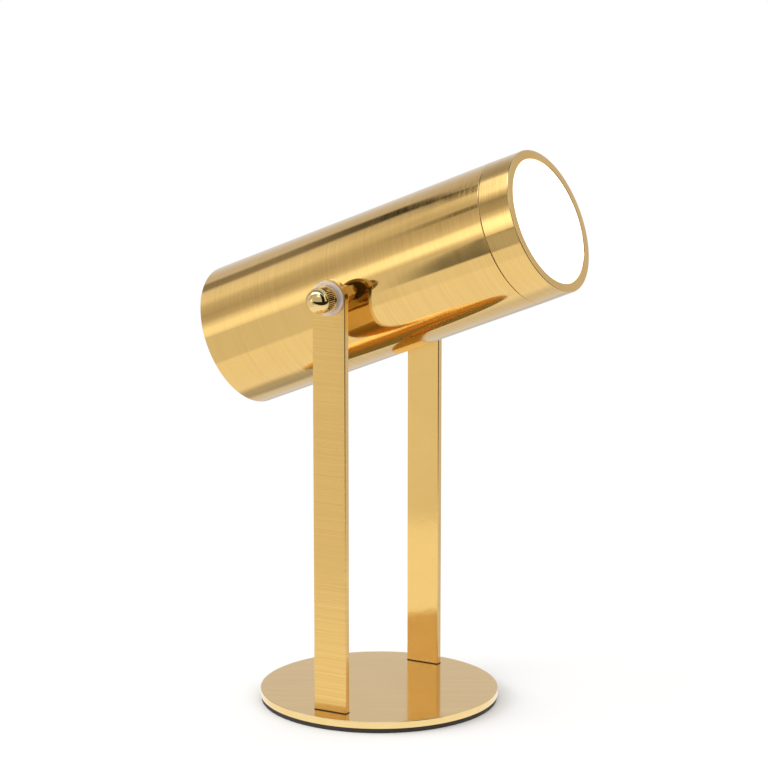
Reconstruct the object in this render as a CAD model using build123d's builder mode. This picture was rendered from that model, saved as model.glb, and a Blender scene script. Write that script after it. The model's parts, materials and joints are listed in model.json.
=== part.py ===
from build123d import *
import os
from math import asin, degrees, radians, sqrt, tan

# Tabletop searchlight lamp: a tube-shaped, battery-powered head that tilts between two flat
# uprights on a round base, and is held at its angle by a clamp knob on each side.
#
# Millimetres. +Z is up, +X is the way the head points, and the origin is the middle of the
# base's underside. Left and right are those of someone behind the lamp: left is +Y.

os.makedirs("parts", exist_ok=True)

# ---------------------------------------------------------------- Driving dimensions

# Base
base_diameter = 134.0
plate_thickness = 4.0
plate_edge_round = 0.4
pad_thickness = 2.5
pad_inset = 0.5

# Uprights
upright_width = 20.0
upright_thickness = 4.0
upright_edge_round = 0.45
upright_gap = 11.6  # from the tube's side to an upright's inner face
upright_seat_depth = 1.0  # pocket in the plate that an upright stands in
upright_screw_spacing = 10.0
pivot_height = 236.0

# Head
head_tilt = 22.0  # above the horizon, in degrees
tube_diameter = 80.0
tube_wall = 1.5
tube_rear = 94.0  # from the pivot back to the tube's open end
tube_front = 92.5  # from the pivot forward to the joint with the front ring
tube_edge_round = 0.35

# Front ring and the pieces it holds
ring_length = 18.5
ring_edge_round = 0.6
spigot_length = 9.0
spigot_wall = 1.5
lip_width = 2.2  # how far the lip stands in from the ring's bore
lip_thickness = 2.2
lip_bevel = 0.5
diffuser_flange_thickness = 2.0
diffuser_recess = 0.2
diffuser_edge_round = 0.3
gasket_width = 2.4
gasket_thickness = 1.0
retainer_width = 3.0
retainer_thickness = 3.0
retainer_slot_width = 3.0
retainer_slot_depth = 1.2

# Pivots, one on each side
stud_diameter = 6.0
stud_chamfer = 0.5
clamp_nut_flats = 10.0
clamp_nut_thickness = 5.6
spacer_diameter = 10.0
spacer_chamfer = 0.3
friction_washer_diameter = 15.0
friction_washer_thickness = 0.8
bush_wall = 1.0
clear_washer_diameter = 19.0
clear_washer_thickness = 2.0
clear_washer_round = 0.4
saddle_length = 20.0
saddle_height = 18.0
saddle_middle = 3.4  # thickness on the pivot's axis
lock_nut_thickness = 5.0
stud_tail = 1.0  # what shows of the stud past the lock nut
nut_chamfer = 0.5
nut_chamfer_angle = 30.0

# Clamp knobs
knob_flange_diameter = 14.0
knob_flange_length = 1.6
knob_groove_diameter = 12.4
knob_groove_length = 1.0
knurl_diameter = 13.9
knurl_length = 6.6
knurl_depth = 0.42
knurl_count = 40
knob_edge_chamfer = 0.25
dome_diameter = 13.5
dome_height = 6.2
knob_bore_depth = 11.0
stud_end_gap = 1.0  # between the stud's end and the bottom of the knob's bore

# Chassis, the folded sheet that carries everything inside the tube
sheet = 1.5
bend_radius = 1.0
tray_top = -9.0  # height of the tray above the tube's axis
tray_width = 52.0
ear_length = 22.0
ear_height = 19.5
ear_corner_radius = 6.0
front_tab_width = 40.0
front_tab_height = 13.0
front_screw_offset = 14.0
front_screw_height = -3.0
rear_tab_width = 11.0
rear_tab_height = 15.0
rear_screw_offset = 20.0
rear_screw_height = -2.0

# Light engine
led_board_front = 80.0
led_board_diameter = 60.0
board_thickness = 1.6
led_size = 3.0
led_thickness = 0.7
led_inner_radius = 7.5  # of the inner ring of lamps round the middle one
led_inner_count = 6
led_outer_radius = 15.0
led_outer_count = 12
led_screw_radius = 26.0
led_screw_start = 90.0
heat_sink_thickness = 5.0
fin_depth = 14.0
fin_thickness = 1.5
fin_heights = (32.0, 26.0, 20.0, 14.0, 8.0, -20.0, -26.0, -32.0)
fin_clearance = 2.5  # from the tube's bore to the fins' ends
reflector_wall = 1.2
reflector_throat = 20.0
reflector_flange_width = 2.9
reflector_rim = 1.5

# Battery
cell_diameter = 18.4
cell_length = 65.0
cell_gap = 1.6
cell_tip_diameter = 6.0
cell_tip_length = 1.0
cell_edge_round = 1.0
contact_thickness = 1.0
contact_size = 9.0
holder_wall = 1.5
holder_height = 15.0
holder_middle = 1.0  # along the tube, from the pivot
tape_thickness = 0.8
tape_margin = 2.0

# Control board and what stands on it
control_width = 38.0
control_length = 58.0
control_rear = -88.0
standoff_length = 4.9
standoff_flats = 5.5
standoff_spigot_diameter = 4.2
standoff_inset = 4.0
inductor_diameter = 10.0
inductor_height = 5.0
inductor_place = (-60.0, 8.0)
capacitor_diameter = 6.3
capacitor_height = 5.5
capacitor_place = (-60.0, -9.0)
chip_size = 5.0
chip_height = 1.0
chip_places = ((-48.0, -9.0), (-48.0, 9.0), (-76.0, 0.0))
usb_width = 8.9
usb_height = 3.2
usb_length = 8.0
usb_shell_wall = 0.4
usb_back = 1.0  # thickness of the port's closed end
usb_tongue_width = 6.6
usb_tongue_thickness = 0.7
usb_tongue_setback = 1.0
usb_clearance = 0.25
usb_inset = 0.3  # from the cap's outer face in to the port's mouth
light_pipe_diameter = 2.8
light_pipe_length = 6.0
light_pipe_offset = 11.0

# Rear cap and push switch
cap_thickness = 2.5
cap_inset = 1.0
cap_rim_length = 6.0
cap_rim_wall = 1.5
cap_edge_chamfer = 0.4
switch_diameter = 12.0
switch_length = 15.0
switch_bezel_diameter = 16.0
switch_bezel_thickness = 1.2
switch_bezel_chamfer = 0.4
switch_nut_flats = 14.0
switch_nut_thickness = 2.5
button_diameter = 9.0
button_proud = 1.6
button_edge_round = 0.4
button_dish_radius = 3.2
button_dish_depth = 0.4
button_collar_diameter = 10.4
button_collar_thickness = 1.2
button_stem_diameter = 5.0
button_stem_length = 3.0
button_travel = 1.0
button_stop_gap = 0.3
terminal_length = 3.0
terminal_size = 1.6
terminal_offset = 2.5

# Screws
m3_diameter = 3.0
m3_head_diameter = 5.6
m3_head_height = 1.7
m3_long = 8.0
m3_short = 5.0
socket_flats = 2.0
socket_depth = 1.0
thread_runout = 0.8  # how far a blind hole runs on past its screw

# Wires
wire_diameter = 1.4
wire_bend = 8.0
short_wire_bend = 4.0
led_wire_offset = 4.0
led_wire_height = -23.0
led_wire_rear = -38.0
battery_wire_station = -50.0
switch_wire_station = -64.0

# Clearances, all radial
running_fit = 0.05  # between a shaft and what it turns or slides in
thread_fit = 0.05  # where a plain shank stands for a thread
easy_fit = 0.1  # between pieces that are put together by hand
drop_in_fit = 0.2  # round sheet and moulded pieces, and wires

# ---------------------------------------------------------------- Sizes that follow

tube_radius = tube_diameter / 2
bore_radius = tube_radius - tube_wall
plate_top = pad_thickness + plate_thickness
upright_foot = plate_top - upright_seat_depth
upright_inner = tube_radius + upright_gap
upright_outer = upright_inner + upright_thickness
upright_middle = upright_inner + upright_thickness / 2

stud_radius = stud_diameter / 2
stud_hole = stud_radius + easy_fit
stud_thread = stud_radius + thread_fit
bush_bore = stud_radius + running_fit
bush_radius = bush_bore + bush_wall
clamp_nut_outer = tube_radius + clamp_nut_thickness
spacer_length = upright_inner - friction_washer_thickness - clamp_nut_outer
saddle_inner = bore_radius - saddle_middle
ear_inner = saddle_inner - sheet
lock_nut_inner = ear_inner - lock_nut_thickness
knob_start = upright_outer + clear_washer_thickness
stud_inner = lock_nut_inner - stud_tail
stud_outer = knob_start + knob_bore_depth - stud_end_gap

ring_front = tube_front + ring_length
spigot_radius = bore_radius - easy_fit
ring_bore = spigot_radius - spigot_wall
drop_in_radius = ring_bore - drop_in_fit
lip_radius = ring_bore - lip_width
reflector_mouth = drop_in_radius - reflector_flange_width
fin_radius = bore_radius - fin_clearance
lip_rear = ring_front - lip_thickness
gasket_front = lip_rear - diffuser_flange_thickness
retainer_front = gasket_front - gasket_thickness
retainer_rear = retainer_front - retainer_thickness

sink_front = led_board_front - board_thickness
sink_rear = sink_front - heat_sink_thickness
tray_bottom = tray_top - sheet
cap_outer = cap_inset - tube_rear
cap_inner = cap_outer + cap_thickness

holder_floor = tray_top + tape_thickness
holder_length = cell_length + 2 * (contact_thickness + holder_wall)
holder_width = 2 * (cell_diameter + holder_wall) + cell_gap
holder_rear = holder_middle - holder_length / 2
holder_front = holder_middle + holder_length / 2
cell_height = holder_floor + holder_wall + cell_diameter / 2
cell_offset = (cell_diameter + cell_gap) / 2
cell_rear = holder_rear + holder_wall + contact_thickness
rear_contact = holder_rear + holder_wall
front_contact = holder_front - holder_wall - contact_thickness

board_top = tray_bottom - standoff_length
board_bottom = board_top - board_thickness
usb_height_middle = board_top + usb_height / 2
wire_hole = wire_diameter / 2 + drop_in_fit

m3_clear_hole = m3_diameter / 2 + easy_fit
m3_tapped_hole = m3_diameter / 2 + thread_fit
m3_countersink = (m3_head_diameter - m3_diameter) / 2  # depth of a 90 degree head

# ---------------------------------------------------------------- Planes and axes

left = 1
right = -1
sides = (("left", left), ("right", right))

pivot = Vector(0, 0, pivot_height)
forward = Vector(1, 0, 0).rotate(Axis.Y, -head_tilt)
head_axis = Axis(pivot, forward)
# Across the head: x is left, y is up the head, and offsets run forward from the pivot.
across = Plane(origin=pivot, x_dir=(0, 1, 0), z_dir=forward)
# Along the head: x is forward, y is up the head, and offsets run to the right.
along = Plane(origin=pivot, x_dir=forward, z_dir=(0, -1, 0))
# Level with the head: x is forward, y is left, and offsets run up the head.
level = Plane(origin=pivot, x_dir=forward, z_dir=across.y_dir)


def outward(side):
    """The plane across one side's pivot: y is up, and offsets run out from the head."""
    return Plane(origin=pivot, x_dir=(-side, 0, 0), z_dir=(0, side, 0))


def half_section(plane):
    """The plane that a plane's normal lies in: x is the radius from it, y is along it."""
    return Plane(origin=plane.origin, x_dir=plane.x_dir, z_dir=-plane.y_dir)


def round_edges(piece, radius):
    """A head piece's circular edges of one radius, from the rear of the head to its front."""
    circles = piece.edges().filter_by(GeomType.CIRCLE)
    return circles.filter_by(lambda edge: abs(edge.radius - radius) < 0.001).sort_by(head_axis)


def save(piece, name):
    """Labels a finished piece and writes it as a STEP file of its own."""
    piece.part.label = name
    export_step(piece.part, f"parts/{name}.step")


def washer(plane, thickness, radius, hole):
    """A flat ring that stands on a plane."""
    with BuildPart() as ring:
        with BuildSketch(plane):
            Circle(radius)
            Circle(hole, mode=Mode.SUBTRACT)
        extrude(amount=thickness)
    return ring


def hex_nut(plane, thickness, flats, hole):
    """A hexagon nut that stands on a plane, with the corners of both faces turned off."""
    corner = flats / sqrt(3)
    turned = corner - nut_chamfer
    drop = nut_chamfer * tan(radians(nut_chamfer_angle))
    with BuildPart() as nut:
        with BuildSketch(plane):
            RegularPolygon(corner, 6)
        extrude(amount=thickness)
        with BuildSketch(half_section(plane)):
            with BuildLine():
                Polyline(
                    (0, 0),
                    (turned, 0),
                    (corner, drop),
                    (corner, thickness - drop),
                    (turned, thickness),
                    (0, thickness),
                    close=True,
                )
            make_face()
        revolve(axis=Axis(plane.origin, plane.z_dir), mode=Mode.INTERSECT)
        with BuildSketch(plane):
            Circle(hole)
        extrude(amount=thickness, mode=Mode.SUBTRACT)
    return nut


def screws(seat, places, length, countersunk=False, way=1):
    """Socket screws whose heads seat on a plane, with their shanks one way along its normal."""
    socket_face = seat if countersunk else seat.offset(-way * m3_head_height)
    with BuildPart() as group:
        with BuildSketch(seat):
            with Locations(*places):
                Circle(m3_diameter / 2)
        extrude(amount=way * length)
        with BuildSketch(seat):
            with Locations(*places):
                Circle(m3_head_diameter / 2)
        if countersunk:
            extrude(amount=way * m3_countersink, taper=45)
        else:
            extrude(amount=-way * m3_head_height)
        with BuildSketch(socket_face):
            with Locations(*places):
                RegularPolygon(socket_flats / sqrt(3), 6)
        extrude(amount=way * socket_depth, mode=Mode.SUBTRACT)
    return group


def wire(plane, points, bend):
    """A round wire along a path on a plane, with its corners bent to a radius."""
    with BuildPart() as strand:
        with BuildLine(plane) as path:
            FilletPolyline(*points, radius=bend)
        with BuildSketch(path.line ^ 0):
            Circle(wire_diameter / 2)
        sweep(path=path.line)
    return strand


# ---------------------------------------------------------------- Base

plate_bottom = Plane.XY.offset(pad_thickness)
upright_screw_places = [
    (x, y)
    for x in (-upright_screw_spacing / 2, upright_screw_spacing / 2)
    for y in (-upright_middle, upright_middle)
]

with BuildPart() as base_pad:
    with BuildSketch():
        Circle(base_diameter / 2 - pad_inset)
    extrude(amount=pad_thickness)
save(base_pad, "base_pad")

with BuildPart() as base_plate:
    with BuildSketch(plate_bottom):
        Circle(base_diameter / 2)
    extrude(amount=plate_thickness)
    fillet(base_plate.edges().filter_by(GeomType.CIRCLE), radius=plate_edge_round)
    with BuildSketch(Plane.XY.offset(plate_top)):
        with Locations((0, -upright_middle), (0, upright_middle)):
            Rectangle(upright_width + 2 * easy_fit, upright_thickness + 2 * easy_fit)
    extrude(amount=-upright_seat_depth, mode=Mode.SUBTRACT)
    with Locations(Plane(origin=plate_bottom.origin, z_dir=(0, 0, -1))):
        with Locations(*upright_screw_places):
            CounterSinkHole(
                m3_clear_hole,
                m3_head_diameter / 2 + easy_fit,
                counter_sink_angle=90,
            )
save(base_plate, "base_plate")

save(screws(plate_bottom, upright_screw_places, m3_long, countersunk=True), "upright_screws")

# ---------------------------------------------------------------- Uprights and their bushes


def upright(side):
    """One flat bar, round at the top, bored for its bush and tapped from below."""
    inner_face = outward(side).offset(upright_inner)
    height = pivot_height - upright_foot
    tapped_depth = m3_long - (upright_foot - pad_thickness) + thread_runout
    with BuildPart() as bar:
        with BuildSketch(inner_face):
            Circle(upright_width / 2)
            with Locations((0, -height / 2)):
                Rectangle(upright_width, height)
        extrude(amount=upright_thickness)
        face_edges = bar.edges().filter_by(Axis.Y, reverse=True)
        fillet(face_edges.filter_by(Axis.X, reverse=True), radius=upright_edge_round)
        with BuildSketch(inner_face):
            Circle(bush_radius + running_fit)
        extrude(amount=upright_thickness, mode=Mode.SUBTRACT)
        with BuildSketch(Plane.XY.offset(upright_foot)):
            for x in (-upright_screw_spacing / 2, upright_screw_spacing / 2):
                with Locations((x, side * upright_middle)):
                    Circle(m3_tapped_hole)
        extrude(amount=tapped_depth, mode=Mode.SUBTRACT)
    return bar


for side_name, side in sides:
    inner_face = outward(side).offset(upright_inner)
    save(upright(side), f"upright_{side_name}")
    save(washer(inner_face, upright_thickness, bush_radius, bush_bore), f"pivot_bush_{side_name}")
    save(
        washer(
            inner_face.offset(-friction_washer_thickness),
            friction_washer_thickness,
            friction_washer_diameter / 2,
            stud_hole,
        ),
        f"friction_washer_{side_name}",
    )

# ---------------------------------------------------------------- Pivots on the head


def spacer(side):
    """The sleeve that keeps the head clear of the upright."""
    with BuildPart() as sleeve:
        with BuildSketch(outward(side).offset(clamp_nut_outer)):
            Circle(spacer_diameter / 2)
        extrude(amount=spacer_length)
        chamfer(sleeve.edges().filter_by(GeomType.CIRCLE), length=spacer_chamfer)
        with BuildSketch(outward(side).offset(clamp_nut_outer)):
            Circle(stud_hole)
        extrude(amount=spacer_length, mode=Mode.SUBTRACT)
    return sleeve


def stud(side):
    """The threaded stud that the head hangs on, as a plain shank."""
    with BuildPart() as shank:
        with BuildSketch(outward(side).offset(stud_inner)):
            Circle(stud_radius)
        extrude(amount=stud_outer - stud_inner)
        chamfer(shank.edges().filter_by(GeomType.CIRCLE), length=stud_chamfer)
    return shank


def saddle(side):
    """The block between the tube's wall and the chassis, curved to the wall."""
    head_side = Plane(origin=pivot, x_dir=forward, z_dir=(0, side, 0))
    with BuildPart() as block:
        with BuildSketch(head_side.offset(saddle_inner)):
            Rectangle(saddle_length, saddle_height)
        extrude(amount=saddle_middle)
        with BuildSketch(across.offset(-saddle_length / 2)):
            Circle(bore_radius - running_fit)
        extrude(amount=saddle_length, mode=Mode.INTERSECT)
        with BuildSketch(head_side.offset(saddle_inner)):
            Circle(stud_hole)
        extrude(amount=saddle_middle, mode=Mode.SUBTRACT)
    return block


for side_name, side in sides:
    clamp_seat = outward(side).offset(tube_radius)
    lock_seat = outward(side).offset(lock_nut_inner)
    save(spacer(side), f"spacer_{side_name}")
    save(stud(side), f"pivot_stud_{side_name}")
    save(saddle(side), f"saddle_{side_name}")
    save(
        hex_nut(clamp_seat, clamp_nut_thickness, clamp_nut_flats, stud_thread),
        f"clamp_nut_{side_name}",
    )
    save(
        hex_nut(lock_seat, lock_nut_thickness, clamp_nut_flats, stud_thread),
        f"lock_nut_{side_name}",
    )

# ---------------------------------------------------------------- Clear washers and knobs


def clear_washer(side):
    """The soft, see-through washer between an upright and its knob."""
    face = outward(side).offset(upright_outer)
    with BuildPart() as ring:
        with BuildSketch(face):
            Circle(clear_washer_diameter / 2)
        extrude(amount=clear_washer_thickness)
        fillet(ring.edges().filter_by(GeomType.CIRCLE), radius=clear_washer_round)
        with BuildSketch(face):
            Circle(stud_hole)
        extrude(amount=clear_washer_thickness, mode=Mode.SUBTRACT)
    return ring


def clamp_knob(side):
    """A turned knob: a thin flange, a groove, a knurled band and a polished dome."""
    seat = outward(side).offset(knob_start)
    flange = knob_flange_diameter / 2
    groove = knob_groove_diameter / 2
    band = knurl_diameter / 2
    dome = dome_diameter / 2
    edge = knob_edge_chamfer
    band_start = knob_flange_length + knob_groove_length
    dome_start = band_start + knurl_length
    dome_centre = dome_start + dome_height - dome
    dome_foot = degrees(asin((dome_start - dome_centre) / dome))
    with BuildPart() as knob:
        with BuildSketch(half_section(seat)):
            with BuildLine():
                dome_line = CenterArc((0, dome_centre), dome, dome_foot, 90 - dome_foot)
                Polyline(
                    dome_line @ 0,
                    (band - edge, dome_start),
                    (band, dome_start - edge),
                    (band, band_start + edge),
                    (band - edge, band_start),
                    (groove, band_start),
                    (groove, knob_flange_length),
                    (flange - edge, knob_flange_length),
                    (flange, knob_flange_length - edge),
                    (flange, 0),
                    (0, 0),
                    dome_line @ 1,
                )
            make_face()
        revolve(axis=Axis(seat.origin, seat.z_dir))
        with BuildSketch(seat.offset(band_start)):
            with PolarLocations(band, knurl_count):
                Rectangle(knurl_depth * sqrt(2), knurl_depth * sqrt(2), rotation=45)
        extrude(amount=knurl_length, mode=Mode.SUBTRACT)
        with BuildSketch(seat):
            Circle(stud_thread)
        extrude(amount=knob_bore_depth, mode=Mode.SUBTRACT)
    return knob


for side_name, side in sides:
    save(clear_washer(side), f"clear_washer_{side_name}")
    save(clamp_knob(side), f"clamp_knob_{side_name}")

# ---------------------------------------------------------------- Head tube and front ring

with BuildPart() as head_tube:
    with BuildSketch(across.offset(-tube_rear)):
        Circle(tube_radius)
        Circle(bore_radius, mode=Mode.SUBTRACT)
    extrude(amount=tube_rear + tube_front)
    fillet(round_edges(head_tube, tube_radius), radius=tube_edge_round)
    with BuildSketch(Plane(origin=pivot, z_dir=(0, 1, 0))):
        Circle(stud_hole)
    extrude(amount=tube_radius, both=True, mode=Mode.SUBTRACT)
save(head_tube, "head_tube")

with BuildPart() as front_ring:
    with BuildSketch(half_section(across)):
        with BuildLine():
            Polyline(
                (ring_bore, tube_front - spigot_length),
                (spigot_radius, tube_front - spigot_length),
                (spigot_radius, tube_front),
                (tube_radius, tube_front),
                (tube_radius, ring_front),
                (lip_radius, ring_front),
                (lip_radius, lip_rear),
                (ring_bore, lip_rear),
                close=True,
            )
        make_face()
    revolve(axis=head_axis)
    fillet(round_edges(front_ring, tube_radius)[-1], radius=ring_edge_round)
    fillet(round_edges(front_ring, tube_radius)[0], radius=tube_edge_round)
    chamfer(round_edges(front_ring, lip_radius)[-1], length=lip_bevel)
save(front_ring, "front_ring")

with BuildPart() as diffuser:
    with BuildSketch(across.offset(gasket_front)):
        Circle(drop_in_radius)
    extrude(amount=diffuser_flange_thickness)
    with BuildSketch(across.offset(lip_rear)):
        Circle(lip_radius - drop_in_fit)
    extrude(amount=lip_thickness - diffuser_recess)
    fillet(round_edges(diffuser, lip_radius - drop_in_fit)[-1], radius=diffuser_edge_round)
save(diffuser, "diffuser")

gasket_seat = across.offset(retainer_front)
save(
    washer(gasket_seat, gasket_thickness, drop_in_radius, drop_in_radius - gasket_width),
    "diffuser_gasket",
)

with BuildPart() as retaining_ring:
    with BuildSketch(across.offset(retainer_rear)):
        Circle(ring_bore - thread_fit)
        Circle(ring_bore - retainer_width, mode=Mode.SUBTRACT)
    extrude(amount=retainer_thickness)
    with BuildSketch(across.offset(retainer_rear)):
        Rectangle(2 * ring_bore, retainer_slot_width)
    extrude(amount=retainer_slot_depth, mode=Mode.SUBTRACT)
save(retaining_ring, "retaining_ring")

with BuildPart() as reflector:
    with BuildSketch(half_section(across)):
        with BuildLine():
            Polyline(
                (reflector_throat, led_board_front),
                (reflector_throat + reflector_wall, led_board_front),
                (reflector_mouth, retainer_rear - reflector_rim),
                (drop_in_radius, retainer_rear - reflector_rim),
                (drop_in_radius, retainer_rear),
                (reflector_mouth, retainer_rear),
                close=True,
            )
        make_face()
    revolve(axis=head_axis)
save(reflector, "reflector")

# ---------------------------------------------------------------- Light engine

led_screw_places = PolarLocations(led_screw_radius, 3, start_angle=led_screw_start).local_locations
led_wire_places = ((-led_wire_offset, led_wire_height), (led_wire_offset, led_wire_height))
sink_screw_places = (
    (-front_screw_offset, front_screw_height),
    (front_screw_offset, front_screw_height),
)

with BuildPart() as led_board:
    with BuildSketch(across.offset(sink_front)):
        Circle(led_board_diameter / 2)
        with Locations(*led_screw_places):
            Circle(m3_clear_hole, mode=Mode.SUBTRACT)
    extrude(amount=board_thickness)
save(led_board, "led_board")

with BuildPart() as led_chips:
    with BuildSketch(across.offset(led_board_front)):
        Rectangle(led_size, led_size)
        with PolarLocations(led_inner_radius, led_inner_count):
            Rectangle(led_size, led_size)
        with PolarLocations(led_outer_radius, led_outer_count):
            Rectangle(led_size, led_size)
    extrude(amount=led_thickness)
save(led_chips, "led_chips")

save(
    screws(across.offset(led_board_front), led_screw_places, m3_short, way=-1),
    "led_board_screws",
)

with BuildPart() as heat_sink:
    with BuildSketch(across.offset(sink_rear)):
        Circle(bore_radius - drop_in_fit)
    extrude(amount=heat_sink_thickness)
    with BuildSketch(across.offset(sink_rear)):
        with Locations(*[(0, height) for height in fin_heights]):
            Rectangle(2 * fin_radius, fin_thickness)
        Circle(fin_radius, mode=Mode.INTERSECT)
    extrude(amount=-fin_depth)
    with BuildSketch(across.offset(sink_rear)):
        with Locations(*sink_screw_places):
            Circle(m3_tapped_hole)
    extrude(amount=m3_short - sheet + thread_runout, mode=Mode.SUBTRACT)
    with BuildSketch(across.offset(sink_front)):
        with Locations(*led_screw_places):
            Circle(m3_tapped_hole)
    extrude(amount=-(m3_short - board_thickness + thread_runout), mode=Mode.SUBTRACT)
    with BuildSketch(across.offset(sink_rear)):
        with Locations(*led_wire_places):
            Circle(wire_hole)
    extrude(amount=heat_sink_thickness, mode=Mode.SUBTRACT)
save(heat_sink, "heat_sink")

save(screws(across.offset(sink_rear - sheet), sink_screw_places, m3_short), "heat_sink_screws")

# ---------------------------------------------------------------- Chassis

rear_screw_places = (
    (-rear_screw_offset, rear_screw_height),
    (rear_screw_offset, rear_screw_height),
)
standoff_places = [
    (station, offset)
    for station in (control_rear + standoff_inset, control_rear + control_length - standoff_inset)
    for offset in (standoff_inset - control_width / 2, control_width / 2 - standoff_inset)
]
battery_wire_places = [(battery_wire_station, offset) for offset in (-cell_offset, cell_offset)]
switch_wire_places = [
    (switch_wire_station, offset) for offset in (-terminal_offset, terminal_offset)
]
# Each fold: the face it presents, the way back from it, its height, width and middle.
folds = (
    (sink_rear, -1, front_tab_height, front_tab_width, 0.0),
    (cap_inner, 1, rear_tab_height, rear_tab_width, -rear_screw_offset),
    (cap_inner, 1, rear_tab_height, rear_tab_width, rear_screw_offset),
)

with BuildPart() as chassis:
    # The flat tray, short of its folds at both ends.
    flat_rear = cap_inner + sheet + bend_radius
    flat_front = sink_rear - sheet - bend_radius
    with BuildSketch(level.offset(tray_bottom)):
        with Locations(((flat_rear + flat_front) / 2, 0)):
            Rectangle(flat_front - flat_rear, tray_width)
    extrude(amount=sheet)
    # The two ears, one fold up at each side of the pivot.
    with BuildSketch(across.offset(-ear_length / 2)):
        with BuildLine():
            Polyline(
                (saddle_inner, tray_bottom + ear_height),
                (saddle_inner, tray_bottom),
                (-saddle_inner, tray_bottom),
                (-saddle_inner, tray_bottom + ear_height),
                (-ear_inner, tray_bottom + ear_height),
                (-ear_inner, tray_top),
                (ear_inner, tray_top),
                (ear_inner, tray_bottom + ear_height),
                close=True,
            )
        make_face()
        fillet(vertices().group_by(Axis.Y)[1], radius=bend_radius)
        fillet(vertices().group_by(Axis.Y)[0], radius=bend_radius + sheet)
    extrude(amount=ear_length)
    ear_tops = chassis.edges().filter_by(Axis.Y).group_by(Axis(pivot, across.y_dir))[-1]
    fillet(ear_tops, radius=ear_corner_radius)
    # The tabs, folded up at the two ends.
    for face, back, height, width, middle in folds:
        inner = face + back * sheet
        with BuildSketch(along.offset(-middle)):
            with BuildLine():
                Polyline(
                    (inner + back * bend_radius, tray_bottom),
                    (face, tray_bottom),
                    (face, tray_bottom + height),
                    (inner, tray_bottom + height),
                    (inner, tray_top),
                    (inner + back * bend_radius, tray_top),
                    close=True,
                )
            make_face()
        extrude(amount=width / 2, both=True)
    with BuildSketch(Plane(origin=pivot, z_dir=(0, 1, 0))):
        Circle(stud_hole)
    extrude(amount=saddle_inner, both=True, mode=Mode.SUBTRACT)
    with BuildSketch(across.offset(sink_rear)):
        with Locations(*sink_screw_places):
            Circle(m3_clear_hole)
    extrude(amount=-sheet, mode=Mode.SUBTRACT)
    with BuildSketch(across.offset(cap_inner)):
        with Locations(*rear_screw_places):
            Circle(m3_tapped_hole)
    extrude(amount=sheet, mode=Mode.SUBTRACT)
    with BuildSketch(level.offset(tray_top)):
        with Locations(*standoff_places):
            Circle(standoff_spigot_diameter / 2 + thread_fit)
        with Locations(*battery_wire_places, *switch_wire_places):
            Circle(wire_hole)
    extrude(amount=-sheet, mode=Mode.SUBTRACT)
save(chassis, "chassis")

# ---------------------------------------------------------------- Battery

holder_middle_place = (holder_middle, 0)
cell_places = ((holder_middle, -cell_offset), (holder_middle, cell_offset))
cell_axes = ((-cell_offset, cell_height), (cell_offset, cell_height))

with BuildPart() as holder_tape:
    with BuildSketch(level.offset(tray_top)):
        with Locations(holder_middle_place):
            Rectangle(holder_length - 2 * tape_margin, holder_width - 2 * tape_margin)
    extrude(amount=tape_thickness)
save(holder_tape, "holder_tape")

with BuildPart() as battery_holder:
    with BuildSketch(level.offset(holder_floor)):
        with Locations(holder_middle_place):
            Rectangle(holder_length, holder_width)
    extrude(amount=holder_height)
    with BuildSketch(level.offset(holder_floor + holder_wall)):
        with Locations(*cell_places):
            Rectangle(holder_length - 2 * holder_wall, cell_diameter + 2 * easy_fit)
        with Locations((front_contact + contact_thickness / 2, 0)):
            Rectangle(contact_thickness, 2 * cell_offset)
    extrude(amount=holder_height - holder_wall, mode=Mode.SUBTRACT)
    with BuildSketch(across.offset(holder_rear)):
        with Locations(*cell_axes):
            Circle(wire_hole)
    extrude(amount=holder_wall, mode=Mode.SUBTRACT)
save(battery_holder, "battery_holder")

with BuildPart() as battery_cells:
    with BuildSketch(across.offset(cell_rear)):
        with Locations(cell_axes[0]):
            Circle(cell_diameter / 2)
    extrude(amount=cell_length - cell_tip_length)
    with BuildSketch(across.offset(cell_rear + cell_tip_length)):
        with Locations(cell_axes[1]):
            Circle(cell_diameter / 2)
    extrude(amount=cell_length - cell_tip_length)
    fillet(battery_cells.edges().filter_by(GeomType.CIRCLE), radius=cell_edge_round)
    with BuildSketch(across.offset(cell_rear + cell_length)):
        with Locations(cell_axes[0]):
            Circle(cell_tip_diameter / 2)
    extrude(amount=-cell_tip_length)
    with BuildSketch(across.offset(cell_rear)):
        with Locations(cell_axes[1]):
            Circle(cell_tip_diameter / 2)
    extrude(amount=cell_tip_length)
save(battery_cells, "battery_cells")

with BuildPart() as battery_contacts:
    with BuildSketch(across.offset(rear_contact)):
        with Locations(*cell_axes):
            Rectangle(contact_size, contact_size)
    extrude(amount=contact_thickness)
    with BuildSketch(across.offset(front_contact)):
        with Locations((0, cell_height)):
            Rectangle(2 * cell_offset + contact_size, contact_size)
    extrude(amount=contact_thickness)
save(battery_contacts, "battery_contacts")

# ---------------------------------------------------------------- Control board

with BuildPart() as control_board:
    with BuildSketch(level.offset(board_bottom)):
        with Locations((control_rear + control_length / 2, 0)):
            Rectangle(control_length, control_width)
        with Locations(*standoff_places):
            Circle(m3_clear_hole, mode=Mode.SUBTRACT)
    extrude(amount=board_thickness)
save(control_board, "control_board")

with BuildPart() as board_standoffs:
    with BuildSketch(level.offset(board_top)):
        with Locations(*standoff_places):
            RegularPolygon(standoff_flats / sqrt(3), 6)
    extrude(amount=standoff_length)
    with BuildSketch(level.offset(tray_bottom)):
        with Locations(*standoff_places):
            Circle(standoff_spigot_diameter / 2)
    extrude(amount=sheet)
    with BuildSketch(level.offset(board_top)):
        with Locations(*standoff_places):
            Circle(m3_tapped_hole)
    extrude(amount=m3_short - board_thickness + thread_runout, mode=Mode.SUBTRACT)
save(board_standoffs, "board_standoffs")

save(screws(level.offset(board_bottom), standoff_places, m3_short), "board_screws")

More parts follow.
